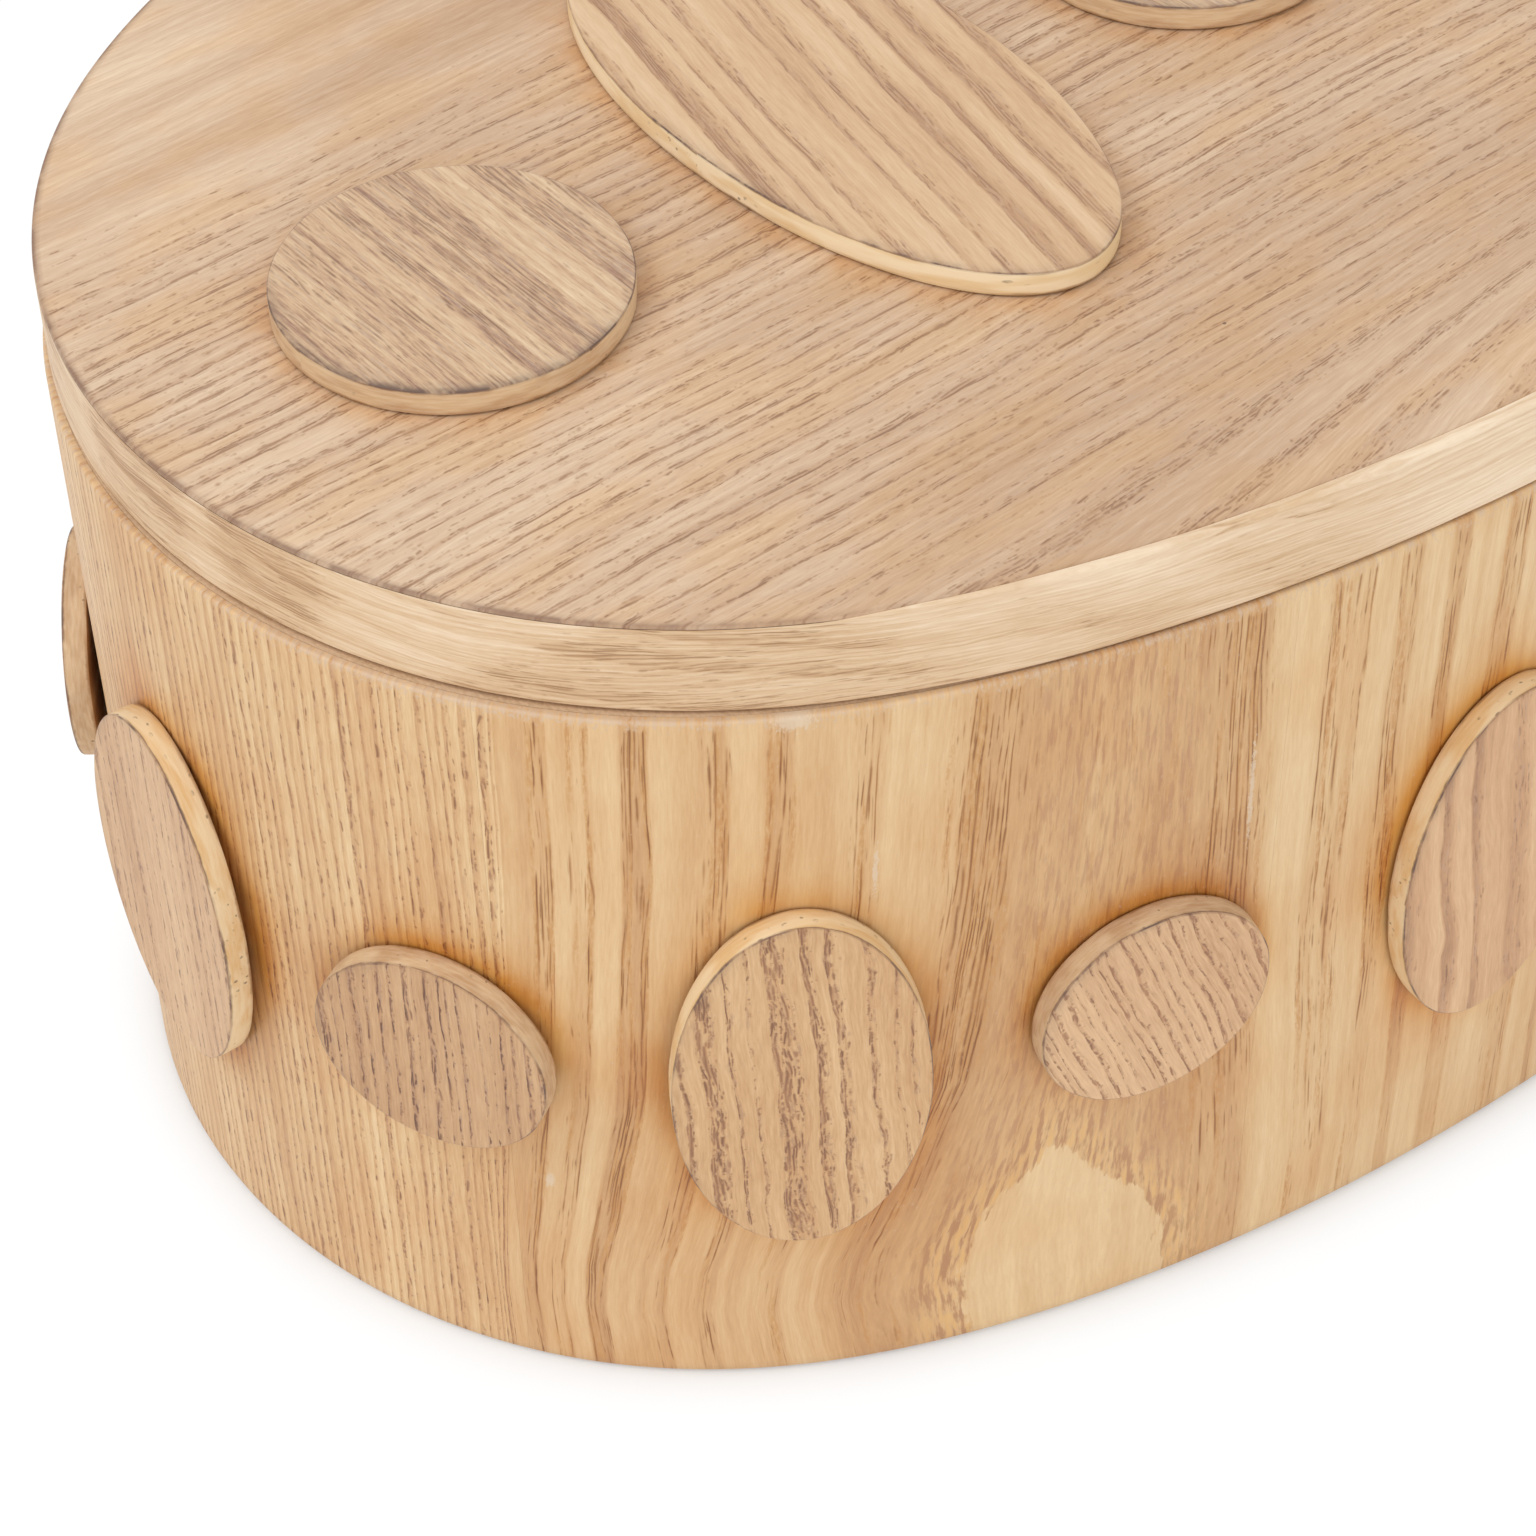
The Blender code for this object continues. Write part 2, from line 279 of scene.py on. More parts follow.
class Finish(Nodes):
    """A wood finish. Its grain map has x across the grain and y along it, in metres."""

    def __init__(self, name, roughness=0.5):
        self.material = bpy.data.materials.new(name)
        self.material.use_nodes = True
        super().__init__(self.material.node_tree)
        self.shader = self.tree.nodes["Principled BSDF"]
        self.shader.inputs["Roughness"].default_value = roughness

    def done(self, colour, height):
        """Gives the finished material its colour and the height of its surface."""
        bump = self.read("ShaderNodeBump", {"Height": height, "Strength": 0.6, "Distance": 1.0})
        self.feed(self.shader.inputs["Normal"], bump)
        self.feed(self.shader.inputs["Base Color"], colour)
        return self.material

    def ease(self, value, low, high, start=0.0, end=1.0):
        """Runs smoothly from start to end while value goes from low to high."""
        inputs = {"Value": value, "From Min": low, "From Max": high, "To Min": start, "To Max": end}
        return self.read("ShaderNodeMapRange", inputs, interpolation_type="SMOOTHSTEP")

    def mix(self, share, one, other, blend="MIX"):
        inputs = {0: share, 6: one, 7: other}
        return self.read("ShaderNodeMix", inputs, 2, data_type="RGBA", blend_type=blend)

    def blend(self, share, one, other):
        return self.read("ShaderNodeMix", {0: share, 2: one, 3: other}, data_type="FLOAT")

    def grain(self):
        place = self.read("ShaderNodeUVMap", {}, uv_map="grain")
        return self.read_all("ShaderNodeSeparateXYZ", {0: place})[:2]

    def spot(self):
        return self.read_all("ShaderNodeSeparateXYZ", {0: self.read("ShaderNodeTexCoord", {}, "Object")})

    def number(self, name):
        return self.read("ShaderNodeAttribute", {}, "Fac", attribute_name=name)

    def scaled(self, across, along, across_size, along_size, seed):
        x = across * (1 / across_size) + seed
        y = along * (1 / along_size) + seed * 1.37
        return self.read("ShaderNodeCombineXYZ", {0: x, 1: y})

    def noise(self, place, detail, rough=0.5):
        inputs = {"Vector": place, "Scale": 1.0, "Detail": detail, "Roughness": rough}
        return self.read("ShaderNodeTexNoise", inputs, noise_dimensions="2D")

    def cloud(self, across, along, across_size, along_size, seed, detail=2.0, rough=0.5):
        return self.noise(self.scaled(across, along, across_size, along_size, seed), detail, rough)

    def luck(self, number):
        """One random value from 0 to 1 for each whole number."""
        return self.read("ShaderNodeTexWhiteNoise", {"W": number}, noise_dimensions="1D")

    def bend(self, across, along, amount, across_size, along_size, seed):
        """Lets the grain wander sideways by up to about amount."""
        drift = self.cloud(across, along, across_size, along_size, seed, 1.0) - 0.5
        return drift * (2 * amount) + across

    def rings(self, across, spacing, seed, unevenness=1.4, early_share=(0.35, 0.75)):
        """Year rings: how open the wood is here, from 0 to 1, and a random number for the ring."""
        count = across * (1 / spacing) + seed
        inputs = {"W": count * 0.45, "Scale": 1.0, "Detail": 1.0}
        wander = self.read("ShaderNodeTexNoise", inputs, noise_dimensions="1D")
        count = wander * unevenness + count
        phase = self.math("FRACT", count)
        luck = self.luck(self.math("FLOOR", count))
        width = luck * (early_share[1] - early_share[0]) + early_share[0]
        fall = self.ease(phase / width, 0.15, 1.0, 1.0, 0.0)
        rise = self.ease(phase, 0.0, 0.10)
        return fall * rise, luck

    def dashes(self, across, along, width, length, density, seed, fill):
        """Slim dashes along the grain, one to a cell of the given size, drawn where luck is under density."""
        place = self.scaled(across, along, width, length, seed)
        inputs = {"Vector": place, "Scale": 1.0, "Randomness": 1.0}
        distance, colour, *_ = self.read_all("ShaderNodeTexVoronoi", inputs, voronoi_dimensions="2D")
        luck, size, _ = self.read_all("ShaderNodeSeparateColor", {0: colour})
        reach = size * (fill * 0.6) + fill * 0.5
        shape = self.ease(distance / reach, 0.45, 1.0, 1.0, 0.0)
        return shape * self.ease(density - luck, -0.04, 0.04)

    def crowded(self, excess, density):
        """How thick a crowd of pores is here, from 0 to 1, and nothing where the wood has none."""
        share = self.math("MULTIPLY", excess, 7.0, clamp=True)
        return share * self.ease(density, 0.02, 0.12)

    def hairlines(self, across, along, spacing, length, width, density, seed):
        """Pores cut lengthways: hair-thin lines that come and go, more of them where the wood is more open.
        Gives the line itself and the soft stain along it."""
        wander = self.cloud(across, along, 5 * spacing, 2.5 * length, seed, 1.0)
        count = across * (1 / spacing) + seed + wander * 2.4
        line = self.math("FLOOR", count)
        luck = self.luck(line)
        away = self.math("ABSOLUTE", self.math("FRACT", count) - (luck * 0.2 + 0.4))
        row = luck * 57.0 + line * 3.7
        run = along * (1 / length) + luck * 91.0
        presence = self.noise(self.read("ShaderNodeCombineXYZ", {0: row, 1: run}), 3.0, 0.62)
        presence = self.crowded(presence - (density * -0.30 + 0.64), density)
        reach = (presence * 0.6 + 0.4) * (width / spacing / 2)
        away = away / reach
        core = self.ease(away, 0.2, 1.25, 1.0, 0.0) * presence
        return core, self.ease(away, 0.6, 2.6, 1.0, 0.0) * presence

    def ramp(self, value, stops):
        node = self.node("ShaderNodeValToRGB", {0: value})
        elements = node.color_ramp.elements
        elements.remove(elements[-1])
        elements[0].position, elements[0].color = stops[0]
        for position, colour in stops[1:]:
            elements.new(position).color = colour
        return Value(self, node.outputs[0])

    def reach(self, x, y, middle, half_sizes):
        """How far out from the middle of an oval this place lies: 1 on its edge."""
        u = x * (1 / half_sizes[0]) - middle[0] / half_sizes[0]
        v = y * (1 / half_sizes[1]) - middle[1] / half_sizes[1]
        return self.math("SQRT", u * u + v * v)


def band_table(finish, across, start, end, bands):
    """Reads given bands (place in mm, tone, pores): gives the tone and how thick the pores lie."""
    run = end - start
    share = finish.math("DIVIDE", across - start * MM, run * MM, clamp=True)
    stops = [((place - start) / run, (tone, pores, 0, 1)) for place, tone, pores in bands]
    return finish.read_all("ShaderNodeSeparateColor", {0: finish.ramp(share, stops)})[:2]


# Where the front sheets are pale (0) or brown (1), and how thick their pores lie. Places in mm along the wall
FRONT_BANDS = (
    (45, 110, (
        (47.6, .45, .25), (48.2, .42, .03), (49.6, .48, .02), (51.0, .44, .05), (51.5, .50, .70),
        (53.4, .52, .75), (53.9, .12, .05), (55.6, .22, .08), (56.1, .32, .45), (57.6, .30, .25),
        (58.3, .48, .75), (58.8, .05, .02), (61.6, .12, .02), (62.0, .68, .80), (64.9, .76, .90),
        (65.3, .28, .03), (69.6, .34, .05), (71.3, .42, .45), (73.6, .52, .72), (74.1, .08, .02),
        (77.6, .20, .03), (78.2, .44, .65), (80.6, .50, .65), (81.2, .30, .03), (87.2, .34, .05),
        (88.0, .40, .55), (90.8, .46, .65), (91.7, .10, .02), (98.6, .28, .10), (101.0, .60, .80),
        (106.4, .68, .85), (107.2, .66, .20))),
    (106, 190, (
        (107.2, .66, .20), (112.0, .60, .12), (118.0, .56, .14), (124.0, .64, .12), (129.8, .70, .22),
        (131.0, .66, .72), (136.8, .62, .75), (138.2, .14, .05), (141.0, .06, .02), (144.4, .12, .02),
        (145.0, .44, .60), (147.0, .34, .40), (150.2, .44, .55), (150.9, .18, .03), (154.2, .26, .04),
        (154.9, .40, .60), (157.5, .46, .50), (158.0, .12, .02), (161.6, .20, .02), (162.0, .74, .60),
        (164.1, .70, .55), (164.6, .12, .02), (169.6, .20, .02), (170.2, .52, .60), (173.0, .48, .55),
        (173.6, .15, .03), (179.0, .30, .05), (180.0, .58, .60), (184.0, .52, .55), (184.6, .20, .03),
        (188.0, .30, .20))),
)
# The same for the lid's veneer, across its grain, and for the face of the lid's left disc
LID_BANDS = (-105, 95, (
    (-100, .44, .35), (-98.5, .16, .02), (-95.5, .18, .02), (-94.2, .46, .40), (-91.6, .50, .55),
    (-90.6, .32, .03), (-87.2, .30, .03), (-86.0, .48, .60), (-84.2, .62, .85), (-83.4, .38, .04),
    (-79.4, .40, .06), (-78.0, .48, .55), (-76.0, .60, .80), (-75.2, .40, .30), (-72, .42, .70),
    (-60, .42, .80), (-35, .20, .85), (-10, .26, .95), (18, .34, .95), (29, .38, .80), (34, .26, .40),
    (38, .22, .08), (41, .52, .04), (44, .66, .08), (47, .52, .03), (50, .12, .01), (53, .22, .01),
    (55.5, .50, .04), (58, .30, .01), (62, .12, .01), (67, .34, .02), (72, .16, .03)))
DISC_BANDS = (-22, 22, (
    (-21, .58, .50), (-13, .42, .40), (-9, .55, .40), (-6, .28, .25), (-4, .24, .20), (-3.5, .78, .70),
    (-1.6, .72, .60), (-1.2, .30, .25), (.7, .34, .30), (1.1, .85, .60), (2.0, .52, .50), (5.0, .66, .65),
    (7.4, .60, .60), (8.2, .22, .15), (13.4, .26, .15), (14.0, .90, .70), (15.4, .56, .55), (17.4, .62, .60),
    (18.6, .30, .30), (20.6, .60, .50)))
# Dabs of pale filler on the wall: place along it, height, and half sizes, in mm
FILLER_SPOTS = ((50.4, 35.3, 0.7, 1.4), (136.2, 85.0, 0.35, 9.0), (89.9, 89.0, 0.35, 4.0),
                (80.6, 114.0, 2.6, 1.6))
# Tiny dark specks on the lid: place from its middle, and half sizes
LID_SPECKS = (((-50.6 * MM, -60.7 * MM), (0.30 * MM, 0.24 * MM)),)
FINE_ABOVE = 47.9 * MM
BANDS_END = 187 * MM


def reach_past(colour, other):
    """The colour as far past this one as the other lies before it."""
    return tuple(min(2 * here - there, 1.0) for here, there in zip(colour, other))


def shape_wood(finish, across, along, tone, density, palette, sizes, seed):
    """Colour and height of an open-grained veneer: fibre, filled pores, stain and open pores."""
    fibre = finish.cloud(across, along, 0.30 * MM, 4 * MM, seed + 3, 4.0, 0.68)
    streak = finish.cloud(across, along, sizes["streak_width"], 40 * MM, seed + 5, 2.0)
    tone = (fibre - 0.5) * sizes["fibre"] + tone
    tone = (streak - 0.5) * sizes["streak"] + tone
    pale, middle, brown = palette["pale"], palette["middle"], palette["brown"]
    stops = [reach_past(pale, middle), pale, middle, brown, reach_past(brown, middle)]
    base = finish.ramp(tone * 0.5 + 0.25, [(0.25 * number, stop) for number, stop in enumerate(stops)])

    knot = finish.cloud(across, along, *sizes["cluster"], seed + 9, 2.0, 0.6)
    cluster = finish.crowded(knot - (density * -0.26 + 0.64), density)
    mottle = finish.cloud(across, along, 0.35 * MM, 1.6 * MM, seed + 17, 3.0, 0.7)
    share = cluster * finish.ease(mottle, 0.38, 0.60, 0.2 * sizes["fill"], sizes["fill"])
    base = finish.mix(share, base, palette["fill"])

    spacing, length, width = sizes["spacing"], sizes["length"], sizes["width"]
    crowd = density * (cluster * sizes["flock"] + (1 - sizes["flock"]))
    long_core, long_stain = finish.hairlines(across, along, spacing, length, width, crowd, seed + 7)
    short_core, short_stain = finish.hairlines(across, along, spacing * 1.37, length * 0.45, width, crowd,
                                               seed + 11)
    core = finish.math("MAXIMUM", long_core, short_core * 0.8)
    stain = finish.math("MAXIMUM", long_stain, short_stain * 0.8)
    depth = finish.cloud(across, along, 1.5 * MM, 10 * MM, seed + 13, 1.0)
    core = core * (finish.ease(depth, 0.32, 0.66, 0.45, 1.0) * finish.ease(density, 0.0, 0.4, 0.35, 1.0))
    base = finish.mix(stain * sizes["glow"], base, palette["glow"])
    colour = finish.mix(core * sizes["strength"], base, palette["pore"])
    height = core * (-0.08 * MM) + fibre * (0.03 * MM)
    return colour, height


def make_wall_finish():
    finish = Finish("wall_veneer_finish", 0.48)
    across, along = finish.grain()
    bent = finish.bend(across, along, 0.55 * MM, 14 * MM, 42 * MM, 1.0)
    bent = finish.bend(bent, along, 0.16 * MM, 3 * MM, 9 * MM, 2.0)

    (left_tone, left_pores), (right_tone,
                              right_pores) = [band_table(finish, bent, *table) for table in FRONT_BANDS]
    is_right = finish.ease(bent, 106.8 * MM, 107.0 * MM)
    open_wood, luck = finish.rings(bent, 5.2 * MM, 17.0)
    broad_tone = open_wood * (luck * 0.5 + 0.2) + 0.16
    broad_pores = open_wood * 0.75
    past_bands = finish.ease(bent, BANDS_END, BANDS_END + 0.3 * MM)
    right_tone = right_tone + finish.ease(bent, 137 * MM, 141 * MM, 0.0, -0.12)
    left_tone = left_tone + finish.ease(along, 25 * MM, 75 * MM, 0.16, 0.0)
    tone = finish.blend(past_bands, finish.blend(is_right, left_tone, right_tone), broad_tone)
    density = finish.blend(past_bands, finish.blend(is_right, left_pores, right_pores), broad_pores)

    fine_open, fine_luck = finish.rings(bent, 1.45 * MM, 5.0, 1.2, (0.55, 0.95))
    swell = finish.cloud(bent, along, 6 * MM, 120 * MM, 21.0, 1.0)
    fine_tone = fine_open * 0.55 + swell * 0.9 - 0.20
    fine_pores = fine_open * (fine_luck * 0.45 + 0.45)
    is_fine = finish.ease(bent, FINE_ABOVE - 0.3 * MM, FINE_ABOVE, 1.0, 0.0)
    tone = finish.blend(is_fine, tone, fine_tone)
    density = finish.blend(is_fine, density, fine_pores)

    island = finish.number("island")
    feather = finish.cloud(across, along, 0.8 * MM, 6 * MM, 31.0, 3.0, 0.6)
    rough_edge = (feather - 0.5) * 0.6 + island
    inside = finish.ease(rough_edge, 0.94, 1.04, 1.0, 0.0)
    fringe = finish.math("SUBTRACT", finish.ease(rough_edge, 1.2, 2.2, 1.0, 0.0), inside, clamp=True)
    tone = finish.blend(fringe * 0.6, tone, 0.40)
    density = density * (fringe * -0.8 + 1.0)
    tone = finish.blend(inside, tone, -0.02)
    density = density * (1.0 - inside)
    worn = finish.number("worn")
    density = density * finish.ease(worn, 0.1, 0.6, 1.0, 0.15)
    is_broad = finish.ease(bent, 84 * MM, 92 * MM)
    faint = finish.blend(is_broad, finish.ease(along, 0.0, 40 * MM, 0.7, 1.0),
                         finish.ease(along, 8 * MM, 60 * MM, 0.3, 1.0))
    density = density * faint

    palette = colours(pale=(231, 197, 150), middle=(218, 176, 126), brown=(199, 152, 106), pore=(108, 56, 18),
                      glow=(184, 126, 64), fill=(205, 153, 94))
    sizes = dict(fibre=0.8, streak=0.8, streak_width=1.6 * MM, spacing=0.56 * MM, length=20 * MM,
                 width=0.20 * MM, glow=0.7, fill=0.9, cluster=(1.4 * MM, 34 * MM), flock=0.3, strength=0.7)
    coarse = shape_wood(finish, bent, along, tone, density, palette, sizes, 41.0)
    palette = palette | colours(glow=(184, 134, 90), pore=(116, 70, 40), fill=(204, 162, 122))
    sizes = dict(sizes, spacing=0.55 * MM, length=3.5 * MM, width=0.28 * MM, cluster=(0.8 * MM, 4 * MM),
                 flock=0.4, fibre=1.3)
    fine = shape_wood(finish, bent, along, tone, density, palette, sizes, 47.0)
    colour = finish.mix(is_fine, coarse[0], fine[0])
    height = finish.blend(is_fine, coarse[1], fine[1])

    flame = finish.cloud(across, along, 0.6 * MM, 6 * MM, 35.0, 3.0, 0.6)
    colour = finish.mix(fringe * finish.ease(flame, 0.48, 0.62, 0.0, 0.6), colour, srgb(178, 126, 76))
    is_brown = finish.ease(bent, 106 * MM, 110 * MM) * finish.ease(bent, 127 * MM, 131 * MM, 1.0, 0.0)
    is_brown = is_brown * (1.0 - inside)
    colour = finish.mix(is_brown * finish.ease(flame, 0.46, 0.66, 0.0, 0.5), colour, srgb(182, 132, 98))
    colour = finish.mix(fringe * finish.ease(flame, 0.34, 0.50, 0.65, 0.0), colour, srgb(234, 188, 120))
    blotch = finish.cloud(across, along, 16 * MM, 26 * MM, 61.0, 2.0)
    colour = finish.mix(finish.ease(blotch, 0.40, 0.72, 0.0, 0.25), colour, srgb(235, 200, 150), "MULTIPLY")
    # The stain attribute is glue stain mixed with painted contact shade and painted warm bounce light round the
    # side plates; it darkens and warms the wall here
    stain = finish.number("stain") * finish.ease(blotch, 0.3, 0.65, 0.45, 1.0)
    colour = finish.mix(stain, colour, srgb(238, 201, 130), "MULTIPLY")
    chips = finish.cloud(across, along, 0.5 * MM, 0.9 * MM, 71.0, 3.0, 0.7)
    bare = finish.ease(worn * 0.35 + chips, 0.62, 0.88, 0.0, 0.75)
    colour = finish.mix(bare, colour, srgb(212, 186, 160))
    for place, height_mm, half_place, half_height in FILLER_SPOTS:
        field = float(front_field(np.array(place), np.array(height_mm)))
        reach = finish.reach(bent, along, (field * MM, height_mm * MM), (half_place * MM, half_height * MM))
        filled = finish.ease(chips * 2.4 + reach, 1.7, 2.3, 0.65, 0.0)
        colour = finish.mix(filled, colour, srgb(226, 206, 180))
    return finish.done(colour, height)


def bend_twice(finish, across, along, bends, seed):
    for number, (amount, across_size, along_size) in enumerate(bends):
        across = finish.bend(across, along, amount, across_size, along_size, seed + number)
    return across


def make_lid_finish():
    """Rows of short pores along the lid, soft bands at its far edge, and rows that arch at its near edge."""
    finish = Finish("lid_veneer_finish", 0.46)
    across, along = finish.grain()
    arch = finish.ease(along, -90 * MM, 30 * MM) - finish.ease(along, 50 * MM, 150 * MM)
    steepness = finish.ease(across, -90 * MM, -58 * MM, -0.30, -0.02)
    field = arch * (75 * MM) * steepness + across
    field = bend_twice(finish, field, along, ((1.8 * MM, 30 * MM, 90 * MM), (0.45 * MM, 6 * MM, 16 * MM)),
                       3.0)
    band_tone, band_pores = band_table(finish, field, *LID_BANDS)
    open_wood, luck = finish.rings(field, 2.3 * MM, 8.0, 1.8, (0.4, 0.85))
    in_rows = finish.ease(field, -75 * MM, -73 * MM)
    rows = open_wood * (luck * 0.35 + 0.65) + 0.18
    density = band_pores * finish.blend(in_rows, 1.0, rows)
    swell = finish.cloud(field, along, 7 * MM, 45 * MM, 14.0, 2.0)
    row_tone = open_wood * in_rows * (band_pores * 0.24)
    browning = finish.ease(along, -118 * MM, -88 * MM) * finish.ease(field, -92 * MM, -70 * MM, 0.12, 0.27)
    paling = finish.ease(along, 0.0, 80 * MM, 0.0, -0.10)
    tone = band_tone + swell * 0.6 - 0.34 + row_tone + browning + paling
    palette = colours(pale=(230, 201, 170), middle=(214, 180, 147), brown=(198, 160, 125), pore=(110, 70, 48),
                      glow=(184, 140, 102), fill=(202, 170, 144))
    sizes = dict(fibre=1.1, streak=0.8, streak_width=0.9 * MM, spacing=0.46 * MM, length=4 * MM,
                 width=0.25 * MM, glow=0.55, fill=0.75, cluster=(0.9 * MM, 8 * MM), flock=0.25, strength=0.56)
    colour, height = shape_wood(finish, field, along, tone, density, palette, sizes, 23.0)
    warmth = finish.cloud(across, along, 9 * MM, 22 * MM, 51.0, 2.0)
    colour = finish.mix(finish.ease(warmth, 0.42, 0.66, 0.0, 0.6), colour, srgb(255, 246, 228), "MULTIPLY")

    # Painted contact shade round the lid's plates, partly glue tint: a warm darkening that fades over 5 mm from
    # their rims
    reach = None
    for x, y, half_x, half_y in LID_PLATES:
        away = finish.reach(along, across, (x, y), (half_x, half_y))
        away = (away - 1.0) * half_x
        reach = away if reach is None else finish.math("MINIMUM", reach, away)
    mottle = finish.cloud(across, along, 5 * MM, 5 * MM, 33.0, 2.0)
    warm = finish.ease(reach, 0.0, 5 * MM, 1.0, 0.0) * finish.ease(mottle, 0.35, 0.65, 0.1, 0.45)
    colour = finish.mix(warm, colour, srgb(244, 214, 164), "MULTIPLY")
    edge = finish.number("edge")
    frayed = finish.cloud(across, along, 5 * MM, 5 * MM, 37.0, 4.0, 0.6)
    dark = edge * finish.ease(frayed, 0.35, 0.62, 0.45, 0.95)
    colour = finish.mix(dark, colour, srgb(132, 96, 74))
    for place, half_sizes in LID_SPECKS:
        away = finish.reach(along, across, place, half_sizes)
        colour = finish.mix(finish.ease(away, 0.5, 1.1, 0.8, 0.0), colour, srgb(92, 66, 54))
    return finish.done(colour, height)


def finish_plate(finish, colour, height, least=0.35):
    """The face darkens unevenly towards its rim, where glue and dust lie, by no less than the least share."""
    across, along = finish.grain()
    uneven = finish.cloud(across, along, 3 * MM, 3 * MM, 39.0, 3.0, 0.6)
    stretch = finish.cloud(across, along, 9 * MM, 9 * MM, 43.0, 1.0)
    uneven = finish.ease(uneven, 0.35, 0.60, 0.5, 1.0)
    uneven = uneven * finish.ease(stretch, 0.4, 0.6, least, 1.0)
    dark = finish.number("edge") * uneven
    colour = finish.mix(dark, colour, srgb(104, 80, 68))
    return finish.done(colour, height)


PLATE_PALETTE = colours(pale=(223, 185, 143), middle=(209, 167, 125), brown=(187, 142, 103),
                        pore=(96, 60, 42), glow=(176, 126, 88), fill=(178, 142, 118))


def make_plate_finish(name, spacing, seed, bends, sizes, tone_depth, density_share, changes):
    """A plate's veneer with even year rings."""
    finish = Finish(name, 0.5)
    across, along = finish.grain()
    bent = bend_twice(finish, across, along, bends, seed)
    open_wood, luck = finish.rings(bent, spacing, seed + 5, 1.4, (0.40, 0.75))
    wide = finish.cloud(bent, along, 9 * MM, 60 * MM, seed + 9, 1.0)
    strength = (luck * 0.6 + 0.4) * tone_depth
    base_tone = (wide - 0.5) * 0.9 + 0.28
    tone = open_wood * strength + base_tone
    density = open_wood * (luck * 0.25 + 0.75)
    density = density * density_share + 0.06
    palette = PLATE_PALETTE | changes
    colour, height = shape_wood(finish, bent, along, tone, density, palette, sizes, seed + 20)
    return finish_plate(finish, colour, height)


def make_disc_finish(sizes):
    """Straight dense fibres in light and grey-brown bands, for the lid's discs."""
    finish = Finish("plate_banded_finish", 0.5)
    across, along = finish.grain()
    bent = finish.bend(across, along, 0.3 * MM, 6 * MM, 30 * MM, 15.0)
    half = DISC_BANDS[1] * MM
    folded = finish.math("PINGPONG", bent + half, 2 * half) - half
    tone, density = band_table(finish, folded, *DISC_BANDS)
    palette = colours(pale=(226, 195, 158), middle=(212, 176, 139), brown=(176, 138, 112), pore=(110, 74, 54),
                      glow=(176, 136, 104), fill=(198, 172, 150))
    colour, height = shape_wood(finish, bent, along, tone, density, palette, sizes, 63.0)
    return finish_plate(finish, colour, height, 0.8)


def make_band_finish():
    """The lid's pale edge band: feathery grain running round, with long slanting tone changes."""
    palette = colours(pale=(238, 211, 178), middle=(225, 192, 153), brown=(208, 170, 129), pore=(134, 88, 52),
                      glow=(196, 150, 104), fill=(206, 168, 128))
    sizes = dict(fibre=1.1, streak=1.4, streak_width=0.35 * MM, spacing=0.42 * MM, length=10 * MM,
                 width=0.19 * MM, glow=0.4, fill=0.3, cluster=(0.6 * MM, 10 * MM), flock=0.3, strength=0.55)
    finish = Finish("edge_band_finish", 0.5)
    across, along = finish.grain()
    bent = finish.bend(across, along, 2.6 * MM, 12 * MM, 48 * MM, 4.0)
    bent = finish.bend(bent, along, 0.3 * MM, 2 * MM, 7 * MM, 6.0)
    slope = along * 0.16 + bent
    open_wood, _ = finish.rings(slope, 6.5 * MM, 9.0, 1.2, (0.5, 0.9))
    wide = finish.cloud(bent, along, 9 * MM, 60 * MM, 12.0, 2.0)
    tan = finish.number("tan")
    tone = tan + open_wood * 0.2 + wide * 0.8 - 0.44
    density = (open_wood * 0.5 + 0.3) * finish.ease(tan, 0.25, 0.65, 0.12, 1.6)
    colour, height = shape_wood(finish, bent, along, tone, density, palette, sizes, 15.0)
    return finish.done(colour, height)


def make_edge_finish(name, board, flecks, fleck_share):
    """The sawn side of a plate: smooth board, and near the face a thin dark line where the veneer ends."""
    finish = Finish(name, 0.6)
    x, y, z = finish.spot()
    around = finish.math("ARCTAN2", y, x) * PLATE_SIDE_RADIUS
    cloud = finish.cloud(around, z, 1.4 * MM, 0.9 * MM, 2.0, 3.0, 0.6)
    soft = finish.cloud(around, z, 6 * MM, 2.2 * MM, 4.0, 2.0)
    colour = finish.mix(finish.ease(soft, 0.38, 0.62, 0.0, 0.8), board, flecks)
    sawn = finish.cloud(around, z, 2.5 * MM, 0.35 * MM, 9.0, 3.0, 0.6)
    colour = finish.mix(finish.ease(sawn, 0.35, 0.65, 0.0, 0.20), colour, srgb(250, 236, 208))
    line = (cloud - 0.5) * (0.35 * MM) + z
    dark = finish.ease(line, *PLATE_VENEER_LINE, 0.0, 1.0)
    dark = dark * finish.ease(soft, 0.35, 0.62, 0.3, 0.95)
    colour = finish.mix(dark, colour, srgb(132, 100, 76))
    speck = finish.dashes(around, z, 0.9 * MM, 1.1 * MM, fleck_share, 8.0, 0.30)
    where = finish.cloud(around, z, 8 * MM, 8 * MM, 6.0, 1.0)
    speck = speck * finish.ease(cloud, 0.4, 0.6) * finish.ease(where, 0.42, 0.54, 0.0, 0.7)
    colour = finish.mix(speck, colour, srgb(110, 86, 66))
    uneven = finish.ease(where, 0.35, 0.6, 0.15, 0.75)
    # Glue at the plate's foot, where it meets the surface under it, with painted contact shade: an uneven amber
    # darkening near the back
    glue_and_contact_shade = finish.ease(cloud * (-0.4 * MM) + z, -0.1 * MM, 0.25 * MM, 1.0, 0.0)
    colour = finish.mix(glue_and_contact_shade * uneven, colour, srgb(152, 106, 60))
    return finish.done(colour, cloud * (0.08 * MM))


